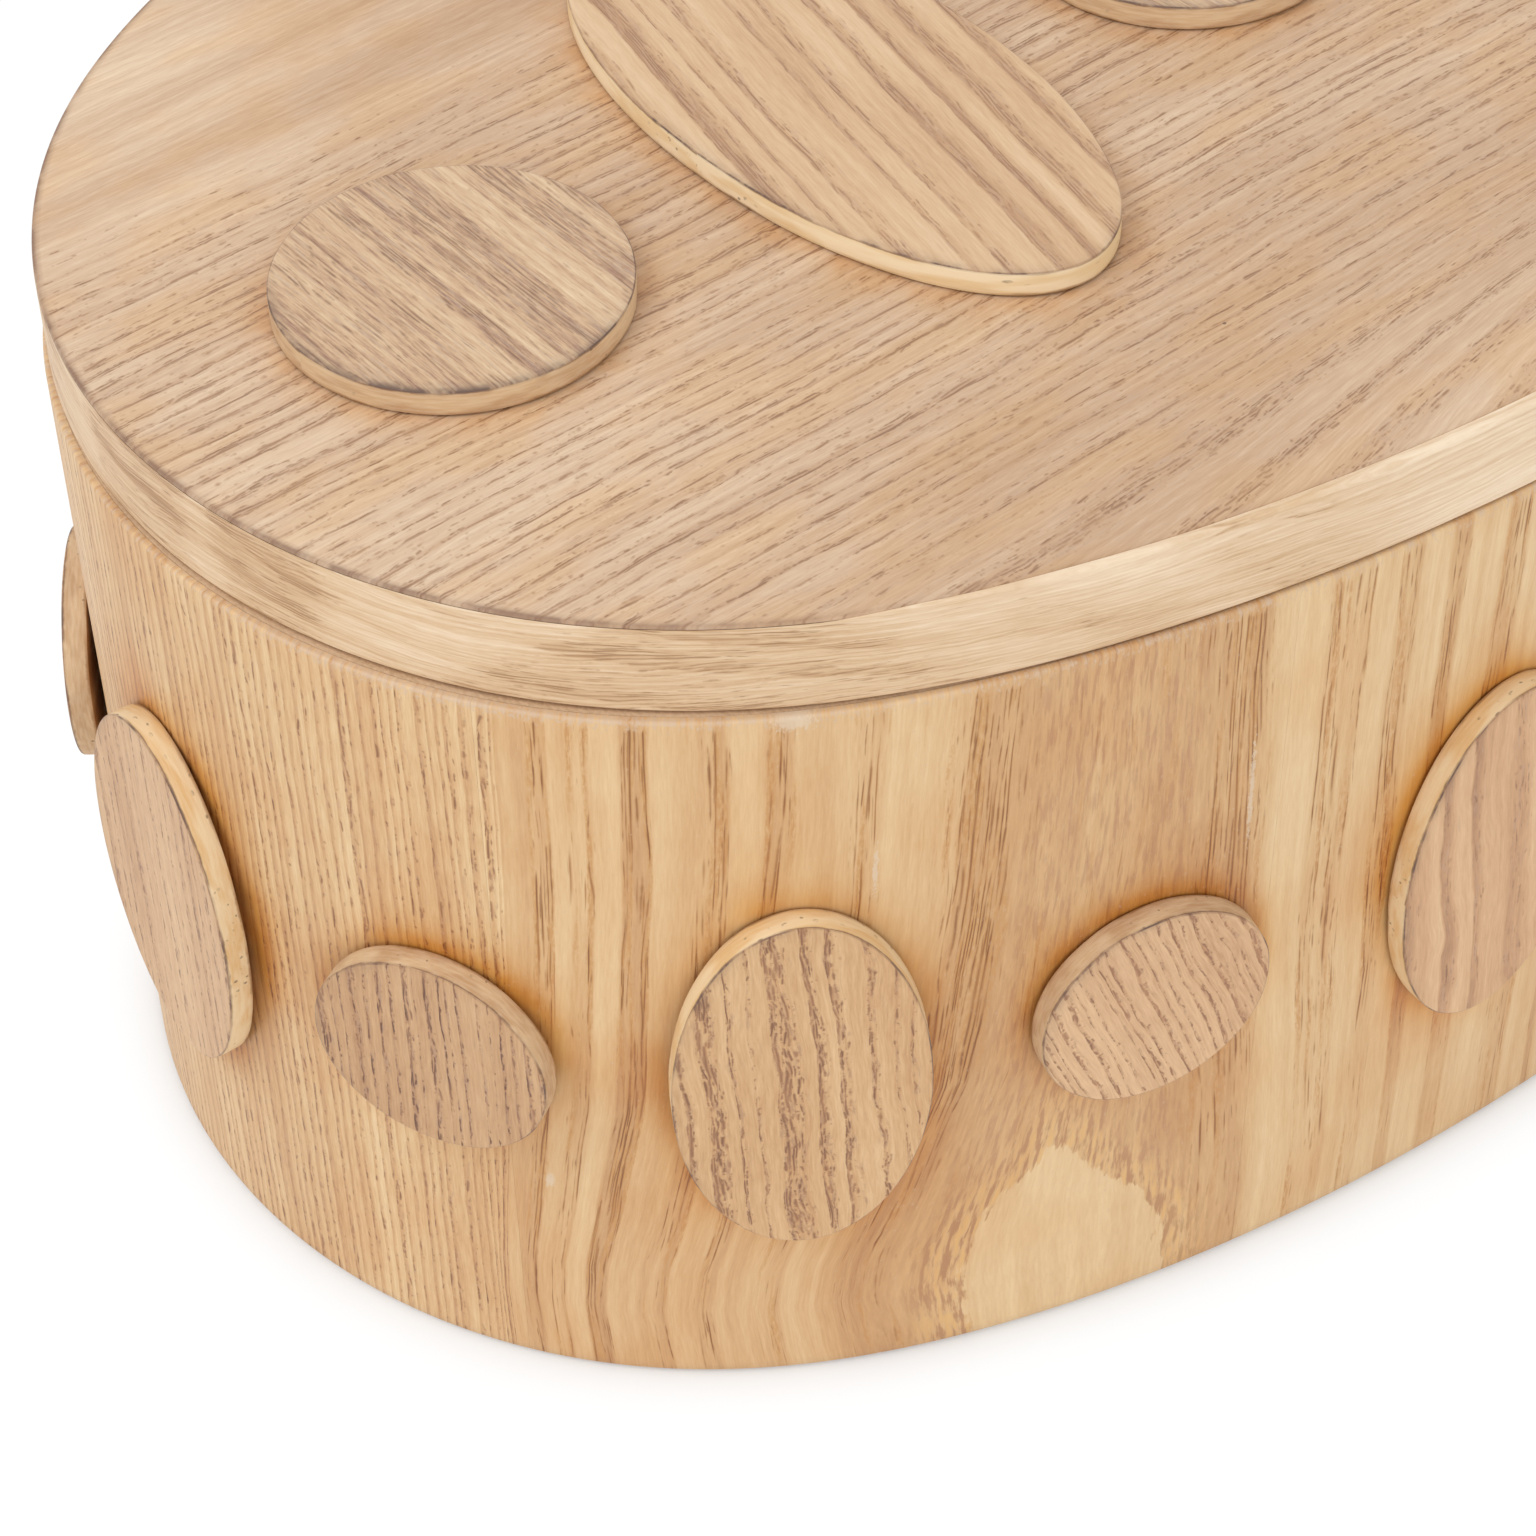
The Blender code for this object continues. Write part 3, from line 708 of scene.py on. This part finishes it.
def make_board_finish():
    """Fine fibre board under the veneer: an even tan with tiny fibres."""
    finish = Finish("core_board_finish", 0.75)
    x, y, z = finish.spot()
    fibres = finish.cloud(x + z, y + z, 0.5 * MM, 0.8 * MM, 3.0, 4.0, 0.7)
    patches = finish.cloud(x, y, 12 * MM, 12 * MM, 5.0, 2.0)
    colour = finish.mix(finish.ease(fibres, 0.3, 0.7), srgb(205, 170, 134), srgb(182, 146, 110))
    colour = finish.mix(finish.ease(patches, 0.3, 0.7, 0.0, 0.35), colour, srgb(214, 182, 150))
    return finish.done(colour, fibres * (0.08 * MM))


def make_felt_finish():
    finish = Finish("lining_felt_finish", 0.95)
    x, y, _ = finish.spot()
    hairs = finish.cloud(x, y, 0.5 * MM, 1.6 * MM, 3.0, 5.0, 0.75)
    crossed = finish.cloud(y, x, 0.5 * MM, 1.6 * MM, 9.0, 5.0, 0.75)
    mixed = finish.math("MAXIMUM", hairs, crossed)
    colour = finish.mix(finish.ease(mixed, 0.4, 0.75), srgb(120, 104, 86), srgb(158, 142, 120))
    finish.shader.inputs["Sheen Weight"].default_value = 0.4
    finish.shader.inputs["Sheen Roughness"].default_value = 0.5
    return finish.done(colour, mixed * (0.3 * MM))


def sweep(name, shares, insets, heights, material, across, along, floats=None, closed=False):
    """A body with one cross-section carried along the oval. Arrays have a row for each place along it: how
    far in and how high each point of the cross-section lies, walked so that the faces point outwards, and its
    grain coordinates and floats."""
    rows = heights.shape[1]
    columns = len(shares) - (1 if closed else 0)
    points, _ = OVAL.place(shares[:columns, None], insets[:columns])
    vertices = np.concatenate([points, heights[:columns, :, None]], -1).reshape(-1, 3)
    faces, corners = [], []
    for column in range(len(shares) - 1):
        after = (column + 1) % columns if closed else column + 1
        for row in range(rows):
            below = (row + 1) % rows
            faces.append((column * rows + row, after * rows + row, after * rows + below,
                          column * rows + below))
            corners += [(column, row), (column + 1, row), (column + 1, row + 1), (column, row + 1)]
    if not closed:
        for column, order in ((0, range(rows)), (len(shares) - 1, range(rows - 1, -1, -1))):
            faces.append([column * rows + row for row in order])
            corners += [(column, row) for row in order]
    columns_here, rows_here = np.array(corners).T
    rows_here = np.minimum(rows_here, rows - 1)
    maps = {"grain": np.column_stack([across[columns_here, rows_here], along[columns_here, rows_here]])}
    made = {key: values[:columns].ravel() for key, values in (floats or {}).items()}
    return make_piece(name, vertices, faces, [0] * len(faces), [material], maps, made)


def ring_faces(ring_count, count):
    """Faces between rings of as many points each."""
    faces = []
    for start in range(0, (ring_count - 1) * count, count):
        for step in range(count):
            after = (step + 1) % count
            faces.append((start + step, start + after, start + count + after, start + count + step))
    return faces


def stack_faces(ring_count, count):
    """Faces of a closed body made of rings of points: side, face in the last ring, back in the first."""
    last = (ring_count - 1) * count
    return ring_faces(ring_count, count) + [range(last, last + count), range(count - 1, -1, -1)]


def front_shift(place, height):
    """How far, in mm, the grain lines of the front sheets lie to the left of where they are at the rim."""
    falls = np.interp(height, (0, 12, 20, 30, 50, 60, 85, 115),
                      (0.93, 1.04, 0.97, 0.74, 0.36, 0.28, 0.10, 0.0))
    reach = np.interp(place, (42, 48, 60, 72, 92, 104, 118, 130, 138, 150, 170),
                      (0.0, 4.5, 8.0, 9.5, 13.0, 15.5, 7.0, -2.0, -4.0, -3.0, 0.0))
    return falls * reach


def front_field(arc, height):
    """Where the grain line through a point of the wall meets the rim, in mm along the wall."""
    field = np.array(arc, float)
    for _ in range(12):
        field = arc + front_shift(field, height)
    return field


# The smooth pale drop low on the front: its left and right edges at several heights, in mm, up to its point
ISLAND_HEIGHTS = (0, 4, 12, 19, 25, 30, 34.4, 60)
ISLAND_LEFT = (102.5, 102, 101.4, 102, 104.5, 109.5, 113.2, 128)
ISLAND_RIGHT = (129.8, 129.7, 128.6, 125.8, 120.1, 116.6, 113.2, 98)
ISLAND_STEP_MM = 8


def island_measure(arc, height):
    """1 on the edge of the pale drop, less inside it, and 1 more for every step outside."""
    left = np.interp(height, ISLAND_HEIGHTS, ISLAND_LEFT)
    right = np.interp(height, ISLAND_HEIGHTS, ISLAND_RIGHT)
    return 1 + np.maximum(left - arc, arc - right) / ISLAND_STEP_MM


def plate_places():
    """Each side plate's node, share of the way round, half sizes and height of its middle."""
    places = []
    for number in range(SIDE_PLATE_COUNT):
        off = LAID_OFF_SHARES[number] if number < len(LAID_OFF_SHARES) else 0
        size_word = "large_oval" if number % 2 else "small_disc"
        node = f"side_{size_word}_{number // 2 + 1}"
        low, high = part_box(node)
        half_height = (high.z - low.z) / 2
        half_width = LARGE_PLATE_HALF_WIDTH if number % 2 else half_height
        share = (FIRST_PLATE_SHARE + number + off) / SIDE_PLATE_COUNT
        places.append((node, share, half_width, half_height, (high.z + low.z) / 2))
    return places


PLATES = plate_places()
# By how much each sheet's grain is shifted, in metres, so that no two look alike
SHEET_SHIFTS = (0.0, 0.0, 0.35, -1.6, 0.9, 1.4, -2.4, 0.0)


def rim_wear(arc_mm):
    """How far the rim under the lid is rubbed away along the front, from 0 to 1."""
    return np.interp(arc_mm, (-60, 60, 105), (1.0, 1.0, 0.1))


def glue_stain_and_shade_at(arc, z):
    """How much glue, dust, painted contact shade and painted warm bounce light tint the wall round the side
    plates.
    """
    closest = np.full(arc.shape, 1.0)
    for _, share, half_width, half_height, middle in PLATES:
        away = (arc - share * GIRTH + GIRTH / 2) % GIRTH - GIRTH / 2
        reach = np.hypot(away / (half_width + GLUE_AND_SHADE_START), (z - middle) / (half_height + GLUE_AND_SHADE_START)) - 1
        closest = np.minimum(closest, reach * half_width)
    return np.exp(-np.maximum(closest, 0) / GLUE_AND_SHADE_FADE)


def worn_at(arc_mm, z_mm):
    """How much the veneer is rubbed pale close under the rim."""
    along_rim = np.interp(arc_mm, *RUBBED_RIM)
    return along_rim * np.clip(1.6 - (WALL_TOP * 1000 - z_mm) / RUBBED_DEPTH_MM, 0, 1)


def build_wall_sheets(material):
    other_width = (GIRTH - FRONT_SHEET_WIDTH) / (SHEET_COUNT - 1)
    low = JOINT_GAP
    side = np.linspace(low + SHEET_FOOT[1], WALL_TOP - SHEET_SIDE_END, round((WALL_TOP - low) / ROW_STEP))
    inner = LID_OVERHANG + VENEER_THICKNESS + JOINT_GAP * 0.9
    lines = [(LID_OVERHANG + SHEET_FOOT[0], low, 0.0)] + [(LID_OVERHANG, z, 0.0) for z in side]
    lines += [(LID_OVERHANG + inward, WALL_TOP - down, 1.0) for inward, down in SHEET_RIM]
    lines += [(inner, WALL_TOP, 0.9), (inner, low, 0.0)]
    depth, levels, sag_shares = np.array(lines).T
    edge = FRONT_SHEET_START
    for number in range(1, SHEET_COUNT + 1):
        drawn = number in DRAWN_SHEETS
        width = FRONT_SHEET_WIDTH if number == 1 else other_width
        start, end = edge, edge + width - SHEET_GAP
        edge += width
        turns = -1 if number == SHEET_COUNT else 0
        step = COLUMN_STEP if drawn else 2.5 * COLUMN_STEP
        arcs = np.linspace(start, end, max(2, round(width / step)) + 1)
        place_mm = (arcs + turns * GIRTH) * 1000
        sag = rim_wear(place_mm) * RIM_SAG
        arc_mm, z_mm = np.meshgrid(place_mm, levels * 1000, indexing="ij")
        across = (front_field(arc_mm, z_mm) if drawn else arc_mm) * MM + SHEET_SHIFTS[number - 1]
        along = np.broadcast_to(levels - depth + (0.0 if number in (1, 2) else 0.37 * number), across.shape)
        floats = {"stain": glue_stain_and_shade_at(arc_mm * MM, z_mm * MM), "worn": worn_at(arc_mm, z_mm),
                  "island": np.minimum(island_measure(arc_mm, z_mm), 9)}
        piece = sweep(f"wall_sheet_{number}", arcs / GIRTH, np.tile(depth, (len(arcs), 1)),
                      levels - sag_shares * sag[:, None], material, across, along, floats)
        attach(piece, "box")
        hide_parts(f"wall_veneer_{number}")


def build_wall_core(material):
    """The bent board behind the veneer, with softly worn rims."""
    core = VENEER_THICKNESS + LID_OVERHANG + JOINT_GAP
    quarter = np.linspace(math.pi / 2, 0, 5)
    lines = [(core, 0.0)] + [(core + inward, WALL_TOP - down) for inward, down in CORE_OUTER_RIM]
    lines += [(core + CORE_THICKNESS - CORE_ROUNDING * (1 - math.cos(a)),
               WALL_TOP - CORE_ROUNDING * (1 - math.sin(a)))
              for a in quarter]
    lines += [(core + CORE_THICKNESS, 0.0)]
    shares = np.linspace(0, 1, 361)
    insets, heights = [np.tile(values, (len(shares), 1)) for values in np.array(lines).T]
    across = np.broadcast_to(shares[:, None] * GIRTH, heights.shape)
    piece = sweep("wall_board", shares, insets, heights, material, across, heights, None, True)
    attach(piece, "box")
    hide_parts("wall_core")


# Light and tan stretches of the lid's band: where each crosses its top and its bottom, in mm, and its tone
BAND_STRETCHES = (
    (-110, -110, .50), (-30, -30, .52), (-15, -12, .32), (-12, -8, .68), (5, 6, .62), (8, 9, .34),
    (10, 12, .34), (13, 15, .68), (25, 24, .62), (31, 28, .32), (50, 36, .30), (58, 39, .34), (62, 43, .58),
    (84, 98, .48), (87, 105, .24), (93, 114, .18), (97, 120, .42), (106, 127, .34), (110, 132, .10),
    (119, 134, .14), (124, 139, .44), (140, 150, .34), (152, 160, .0), (165, 170, -.08), (200, 200, -.10),
    (300, 300, .50))


def band_top_width(arc_mm):
    """Width of the band's sanded top edge along the lid, in metres."""
    widths_mm = (0.04, 0.04, 0.05, 0.35, 0.85, 1.25, 1.5, 0.05)
    return np.interp(arc_mm, (-60, 20, 84, 94, 110, 140, 175, 260), widths_mm) * MM


def band_drop(arc_mm):
    """How far the band's top lies under the lid's top: less where the veneer's edge is sanded back to it."""
    return np.interp(arc_mm, (-60, 84, 93, 240, 260), (0.50, 0.50, 0.02, 0.02, 0.50)) * MM


def band_tone(place_mm, heights):
    at_top, at_bottom, tones = np.array(BAND_STRETCHES).T
    down = (LID_TOP - heights) / (LID_TOP - LID_LOW)
    return np.array([[np.interp(place, at_top + (at_bottom - at_top) * share, tones) for share in shares]
                     for place, shares in zip(place_mm, down)])


def build_lid_band(material):
    shares = np.linspace(-0.25, 0.75, 601)
    place_mm = shares * GIRTH * 1000
    width = band_top_width(place_mm)
    zero = np.zeros(len(shares))
    top = LID_TOP - band_drop(place_mm)
    ease = width * 0.45
    inner = np.maximum(width + BAND_LEDGE, BAND_LEAST_WIDTH)
    wear = 0.25 + 0.75 * rim_wear(place_mm)
    lines = [(wear * inward, zero + LID_LOW + up) for inward, up in BAND_FOOT]
    lines += [(zero, zero + LID_LOW + up) for up in BAND_SIDE_ROWS]
    lines += [(ease * share, top - down) for share, down in BAND_ARRIS]
    lines += [(width, top), (width, top - BAND_STEP), (inner, top - BAND_DEPTH), (inner, zero + LID_LOW)]
    insets, heights = [np.stack(values, 1) for values in zip(*lines)]
    along = np.broadcast_to(shares[:, None] * GIRTH, heights.shape)
    piece = sweep("lid_band", shares, insets, heights, material, heights - insets, along,
                  {"tan": band_tone(place_mm, heights)}, True)
    piece.location = (LID_CENTRE.x, LID_CENTRE.y, 0)
    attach(piece, "lid")
    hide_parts("lid_edge_band")


def build_lid_veneer(material):
    shares = np.linspace(0, 1, 721)[:-1]
    count = len(shares)
    place_mm = np.where(shares > 0.75, shares - 1, shares) * GIRTH * 1000
    gap = np.interp(place_mm, (-60, 84, 96, 110), (0.0, 0.0, 0.03, 0.02)) * MM
    dark = np.interp(place_mm, (-60, 60, 96, 200), (1.0, 0.9, 0.25, 0.1))
    vertices, darkness = [], []
    for inset, down, soiled in LID_VENEER_RINGS:
        point, _ = OVAL.place(shares, band_top_width(place_mm) + gap + inset)
        vertices.append(np.column_stack([point, np.full(count, LID_TOP - down)]))
        darkness.append(dark * soiled)
    vertices = np.concatenate(vertices)
    faces = stack_faces(len(LID_VENEER_RINGS), count)
    order = np.concatenate(faces)
    maps = {"grain": np.column_stack([vertices[order, 1], vertices[order, 0]])}
    piece = make_piece("lid_face", vertices, faces, [0] * len(faces), [material], maps,
                       {"edge": np.concatenate(darkness)})
    piece.location = (LID_CENTRE.x, LID_CENTRE.y, 0)
    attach(piece, "lid")
    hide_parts("lid_top_veneer")


def build_plate(name, node, half_sizes, thickness, place, finishes, turn, seed, body, soiled):
    """A flat oval with its back on its own XY plane: sawn side, thin veneer line, softly eased face edge.
    soiled gives the direction in which the face's rim is darkest, and how dark."""
    half_width, half_height = half_sizes
    turns = np.linspace(0, 2 * math.pi, PLATE_STEPS + 1)[:-1]
    wobble = np.sin(3 * turns + seed) + 0.6 * np.sin(5 * turns + 2.3 * seed) + 0.4 * np.sin(11 * turns + seed)
    wave = np.minimum(PLATE_WOBBLE * wobble, 0.0) * 1.2
    soil = soiled[1] * np.clip(np.cos(turns - soiled[0]), 0, 1) ** 0.7
    rings = PLATE_BACK_RINGS + ((PLATE_SIDE_INSET, thickness * 0.45),)
    rings += tuple((inset, thickness - down) for inset, down in PLATE_FACE_RINGS)
    vertices, darkness = [], []
    for inset, z in rings:
        x = (half_width - inset + wave) * np.cos(turns)
        y = (half_height - inset + wave) * np.sin(turns)
        vertices.append(np.column_stack([x, y, np.full(PLATE_STEPS, z)]))
        rim = 1.0 if inset < PLATE_RIM_END and z > thickness / 2 else 0.0
        fade = float(np.interp(inset, *PLATE_SOIL_FADE)) if z == thickness else 0.0
        darkness.append(np.maximum(rim, fade * soil))
    vertices = np.concatenate(vertices)
    faces = stack_faces(len(rings), PLATE_STEPS)
    side_count = (len(PLATE_BACK_RINGS) + 2) * PLATE_STEPS
    kinds = [1] * side_count + [0] * (len(faces) - side_count - 1) + [1]
    order = np.concatenate(faces)
    cosine, sine = math.cos(turn), math.sin(turn)
    across = vertices[order, 0] * cosine + vertices[order, 1] * sine + 0.11 * seed
    along = -vertices[order, 0] * sine + vertices[order, 1] * cosine + 0.23 * seed
    piece = make_piece(name, vertices, faces, kinds, finishes, {"grain": np.column_stack([across, along])},
                       {"edge": np.concatenate(darkness)}, 50)
    piece.matrix_world = place
    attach(piece, body)
    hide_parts(node)


def build_side_plates(faces, edges):
    """Each plate is named for its CAD node and lies where that node is."""
    styles = {0: ("fine", 0.0), 1: ("soft", 0.0), 2: ("fine", 0.0), 3: ("open", 0.06), 4: ("slant", 0.38),
              5: ("smoky", 0.12)}
    for number, (node, share, half_width, half_height, middle) in enumerate(PLATES):
        point, outward = OVAL.place(share, LID_OVERHANG)
        out = Vector((outward[0], outward[1], 0))
        along = Vector((-out.y, out.x, 0))
        turned = Matrix((along, UP, out)).transposed().to_4x4()
        seat = Vector((point[0], point[1], middle)) + JOINT_GAP * out
        style, turn = styles.get(number, (("fine", "open", "soft", "smoky")[number % 4],
                                          0.1 * math.sin(number * 2.1)))
        finishes = (faces[style], edges["cream" if number % 2 else "tan"])
        build_plate(node + "_piece", node, (half_width, half_height), PLATE_THICKNESS,
                    Matrix.Translation(seat) @ turned,
                    finishes, turn, 1.0 + number, "box", (2.6, 0.35))


def build_lid_plates(faces, edges):
    styles = {"lid_disc_left": ("banded", 0.0, "tan"), "lid_leaf_left": ("striped", -0.20, "ivory"),
              "lid_disc_middle": ("banded", 0.05, "tan"), "lid_leaf_right": ("striped", 0.12, "ivory"),
              "lid_disc_right": ("banded", -0.06, "tan")}
    for number, (node, (style, turn, edge)) in enumerate(styles.items()):
        low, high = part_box(node)
        middle = (low + high) / 2
        half_sizes = ((high.x - low.x) / 2, (high.y - low.y) / 2)
        place = Matrix.Translation((middle.x, middle.y, low.z))
        build_plate(node + "_piece", node, half_sizes, high.z - low.z, place, (faces[style], edges[edge]),
                    turn, 0.8 * number, "lid", (3.9, 0.9 if number == 0 else 0.4))


def build_floor():
    around = np.linspace(0, 1, 361)[:-1]
    count = len(around)
    points, shares = [], []
    for distance, share in FLOOR_SHADOW_RINGS:
        point, _ = OVAL.place(around, LID_OVERHANG - distance)
        points.append(np.column_stack([point, np.full(count, -FLOOR_SINK)]))
        shares += [share] * count
    faces = [range(count)] + [face[::-1] for face in ring_faces(len(points), count)]
    material = bpy.data.materials.new("floor_white")
    material.use_nodes = True
    material.node_tree.nodes.clear()
    nodes = Nodes(material.node_tree)
    lit = nodes.read("ShaderNodeBsdfDiffuse", {"Color": (FLOOR_WHITE,) * 3 + (1,)})
    white = nodes.read("ShaderNodeEmission", {"Strength": FLOOR_GLOW})
    shadow = nodes.read("ShaderNodeAttribute", {}, "Fac", attribute_name="shadow")
    shown = nodes.read("ShaderNodeMixShader", {0: nodes.seen_directly() * (1.0 - shadow), 1: lit, 2: white})
    nodes.node("ShaderNodeOutputMaterial", {0: shown})
    floor = make_piece("floor", np.concatenate(points), faces, [0] * len(faces), [material], None,
                       {"shadow": shares})


def build_light():
    world = bpy.data.worlds.new("studio")
    bpy.context.scene.world = world
    world.use_nodes = True
    world.node_tree.nodes.clear()
    nodes = Nodes(world.node_tree)
    light, white = [nodes.read("ShaderNodeBackground", {"Color": (1, 1, 1, 1), "Strength": strength})
                    for strength in (WORLD_STRENGTH, 1.0)]
    shown = nodes.read("ShaderNodeMixShader", {0: nodes.seen_directly(), 1: light, 2: white})
    nodes.node("ShaderNodeOutputWorld", {0: shown})
    for name, place, size, power in LAMPS:
        lamp = bpy.data.lights.new(name, "AREA")
        lamp.shape = "DISK"
        lamp.size = size
        lamp.energy = power
        item = link(bpy.data.objects.new(name, lamp))
        item.location = place
        item.rotation_euler = (Vector(LAMP_AIM) - Vector(place)).to_track_quat("-Z", "Y").to_euler()


def build_camera():
    data = bpy.data.cameras.new("camera")
    data.lens = LENS_MM
    data.sensor_width = SENSOR_MM
    data.clip_start = 0.01
    camera = link(bpy.data.objects.new("camera", data))
    sin_turn, cos_turn = math.sin(CAMERA_TURN), math.cos(CAMERA_TURN)
    ahead = Vector((sin_turn * math.cos(CAMERA_DOWN), cos_turn * math.cos(CAMERA_DOWN),
                    -math.sin(CAMERA_DOWN)))
    right = Vector((cos_turn, -sin_turn, 0))
    up = right.cross(ahead)
    sin_tilt, cos_tilt = math.sin(CAMERA_TILT), math.cos(CAMERA_TILT)
    tilted_right = cos_tilt * right + sin_tilt * up
    tilted_up = cos_tilt * up - sin_tilt * right
    turned = Matrix((tilted_right, tilted_up, -ahead)).transposed().to_4x4()
    camera.matrix_world = Matrix.Translation(CAMERA_PLACE) @ turned
    bpy.context.scene.camera = camera


def dress_kept_nodes(board, felt):
    """CAD solids whose shape is right keep their mesh and get a finished surface."""
    for node, material in (("base_board", board), ("lid_board", board), ("lid_locating_panel", board),
                           ("floor_felt", felt)):
        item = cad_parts[node]
        item.data.materials.clear()
        item.data.materials.append(material)


def make_plate_faces():
    """The plates' veneers: striped and banded on the lid, the others on the wall."""
    plain = dict(fibre=1.5, streak=0.7, streak_width=0.9 * MM, spacing=0.48 * MM, length=2.8 * MM,
                 width=0.26 * MM, glow=0.65, fill=0.75, cluster=(0.8 * MM, 4 * MM), flock=0.4, strength=0.62)
    crisp = dict(plain, strength=0.95, width=0.30 * MM)
    soft = dict(plain, strength=0.58, fill=0.65)
    dappled = dict(soft, length=1.9 * MM, width=0.30 * MM, cluster=(0.9 * MM, 2.2 * MM), flock=0.7)
    fibrous = dict(plain, fibre=2.0, streak=1.5, spacing=0.44 * MM, width=0.24 * MM, length=10 * MM, fill=0.6,
                   glow=0.5, strength=0.6, cluster=(0.5 * MM, 9 * MM), flock=0.2)
    streaky = dict(plain, fibre=1.0, streak=0.8, streak_width=1.4 * MM, width=0.22 * MM, length=6 * MM,
                   strength=0.5, glow=0.55, fill=0.6, cluster=(0.8 * MM, 7 * MM))
    gentle = ((0.5 * MM, 10 * MM, 25 * MM), (0.15 * MM, 3 * MM, 8 * MM))
    wavy = ((1.0 * MM, 9 * MM, 20 * MM), (0.3 * MM, 3 * MM, 6 * MM))
    light = colours(pale=(231, 197, 158), middle=(217, 178, 137), brown=(192, 150, 113), pore=(128, 82, 58),
                    glow=(190, 144, 104), fill=(202, 166, 138))
    deeper = colours(pale=(212, 172, 129), middle=(199, 156, 114), brown=(180, 135, 96))
    warm = colours(pale=(223, 183, 137), middle=(209, 165, 118), brown=(187, 140, 96), pore=(88, 50, 32),
                   glow=(168, 114, 74), fill=(180, 140, 108))
    reddish = colours(pale=(229, 189, 146), middle=(215, 173, 131), brown=(194, 146, 104), pore=(112, 68, 46),
                      glow=(178, 124, 84), fill=(184, 142, 112))
    rosy = colours(pale=(228, 188, 144), middle=(213, 167, 124), brown=(188, 142, 104), fill=(196, 158, 132))
    kinds = {"fine": (1.6 * MM, 5.0, gentle, crisp, 0.35, 1.0, deeper),
             "soft": (2.0 * MM, 7.0, gentle, soft, 0.35, 0.8, {}),
             "open": (3.1 * MM, 9.0, wavy, plain, 0.25, 1.0, warm),
             "slant": (1.5 * MM, 11.0, wavy, dappled, 0.35, 1.1, reddish),
             "smoky": (6.0 * MM, 13.0, wavy, streaky, 0.9, 0.5, rosy),
             "striped": (4.8 * MM, 17.0, gentle, streaky, 0.8, 1.1, light)}
    faces = {kind: make_plate_finish(f"plate_{kind}_finish", *settings) for kind, settings in kinds.items()}
    return dict(faces, banded=make_disc_finish(fibrous))


def make_plate_edges():
    kinds = {"tan": ((218, 186, 146), (198, 160, 120), 0.08),
             "cream": ((240, 213, 170), (228, 186, 126), 0.40),
             "ivory": ((248, 228, 192), (234, 202, 150), 0.40)}
    return {kind: make_edge_finish(f"plate_{kind}_edge_finish", srgb(*board), srgb(*flecks), share)
            for kind, (board, flecks, share) in kinds.items()}


def main():
    build_camera()
    build_floor()
    build_light()
    board = make_board_finish()
    build_wall_core(board)
    build_wall_sheets(make_wall_finish())
    build_lid_band(make_band_finish())
    build_lid_veneer(make_lid_finish())
    faces, edges = make_plate_faces(), make_plate_edges()
    build_side_plates(faces, edges)
    build_lid_plates(faces, edges)
    dress_kept_nodes(board, make_felt_finish())


main()
bpy.context.scene.view_settings.view_transform = "Standard"
bpy.context.view_layer.update()
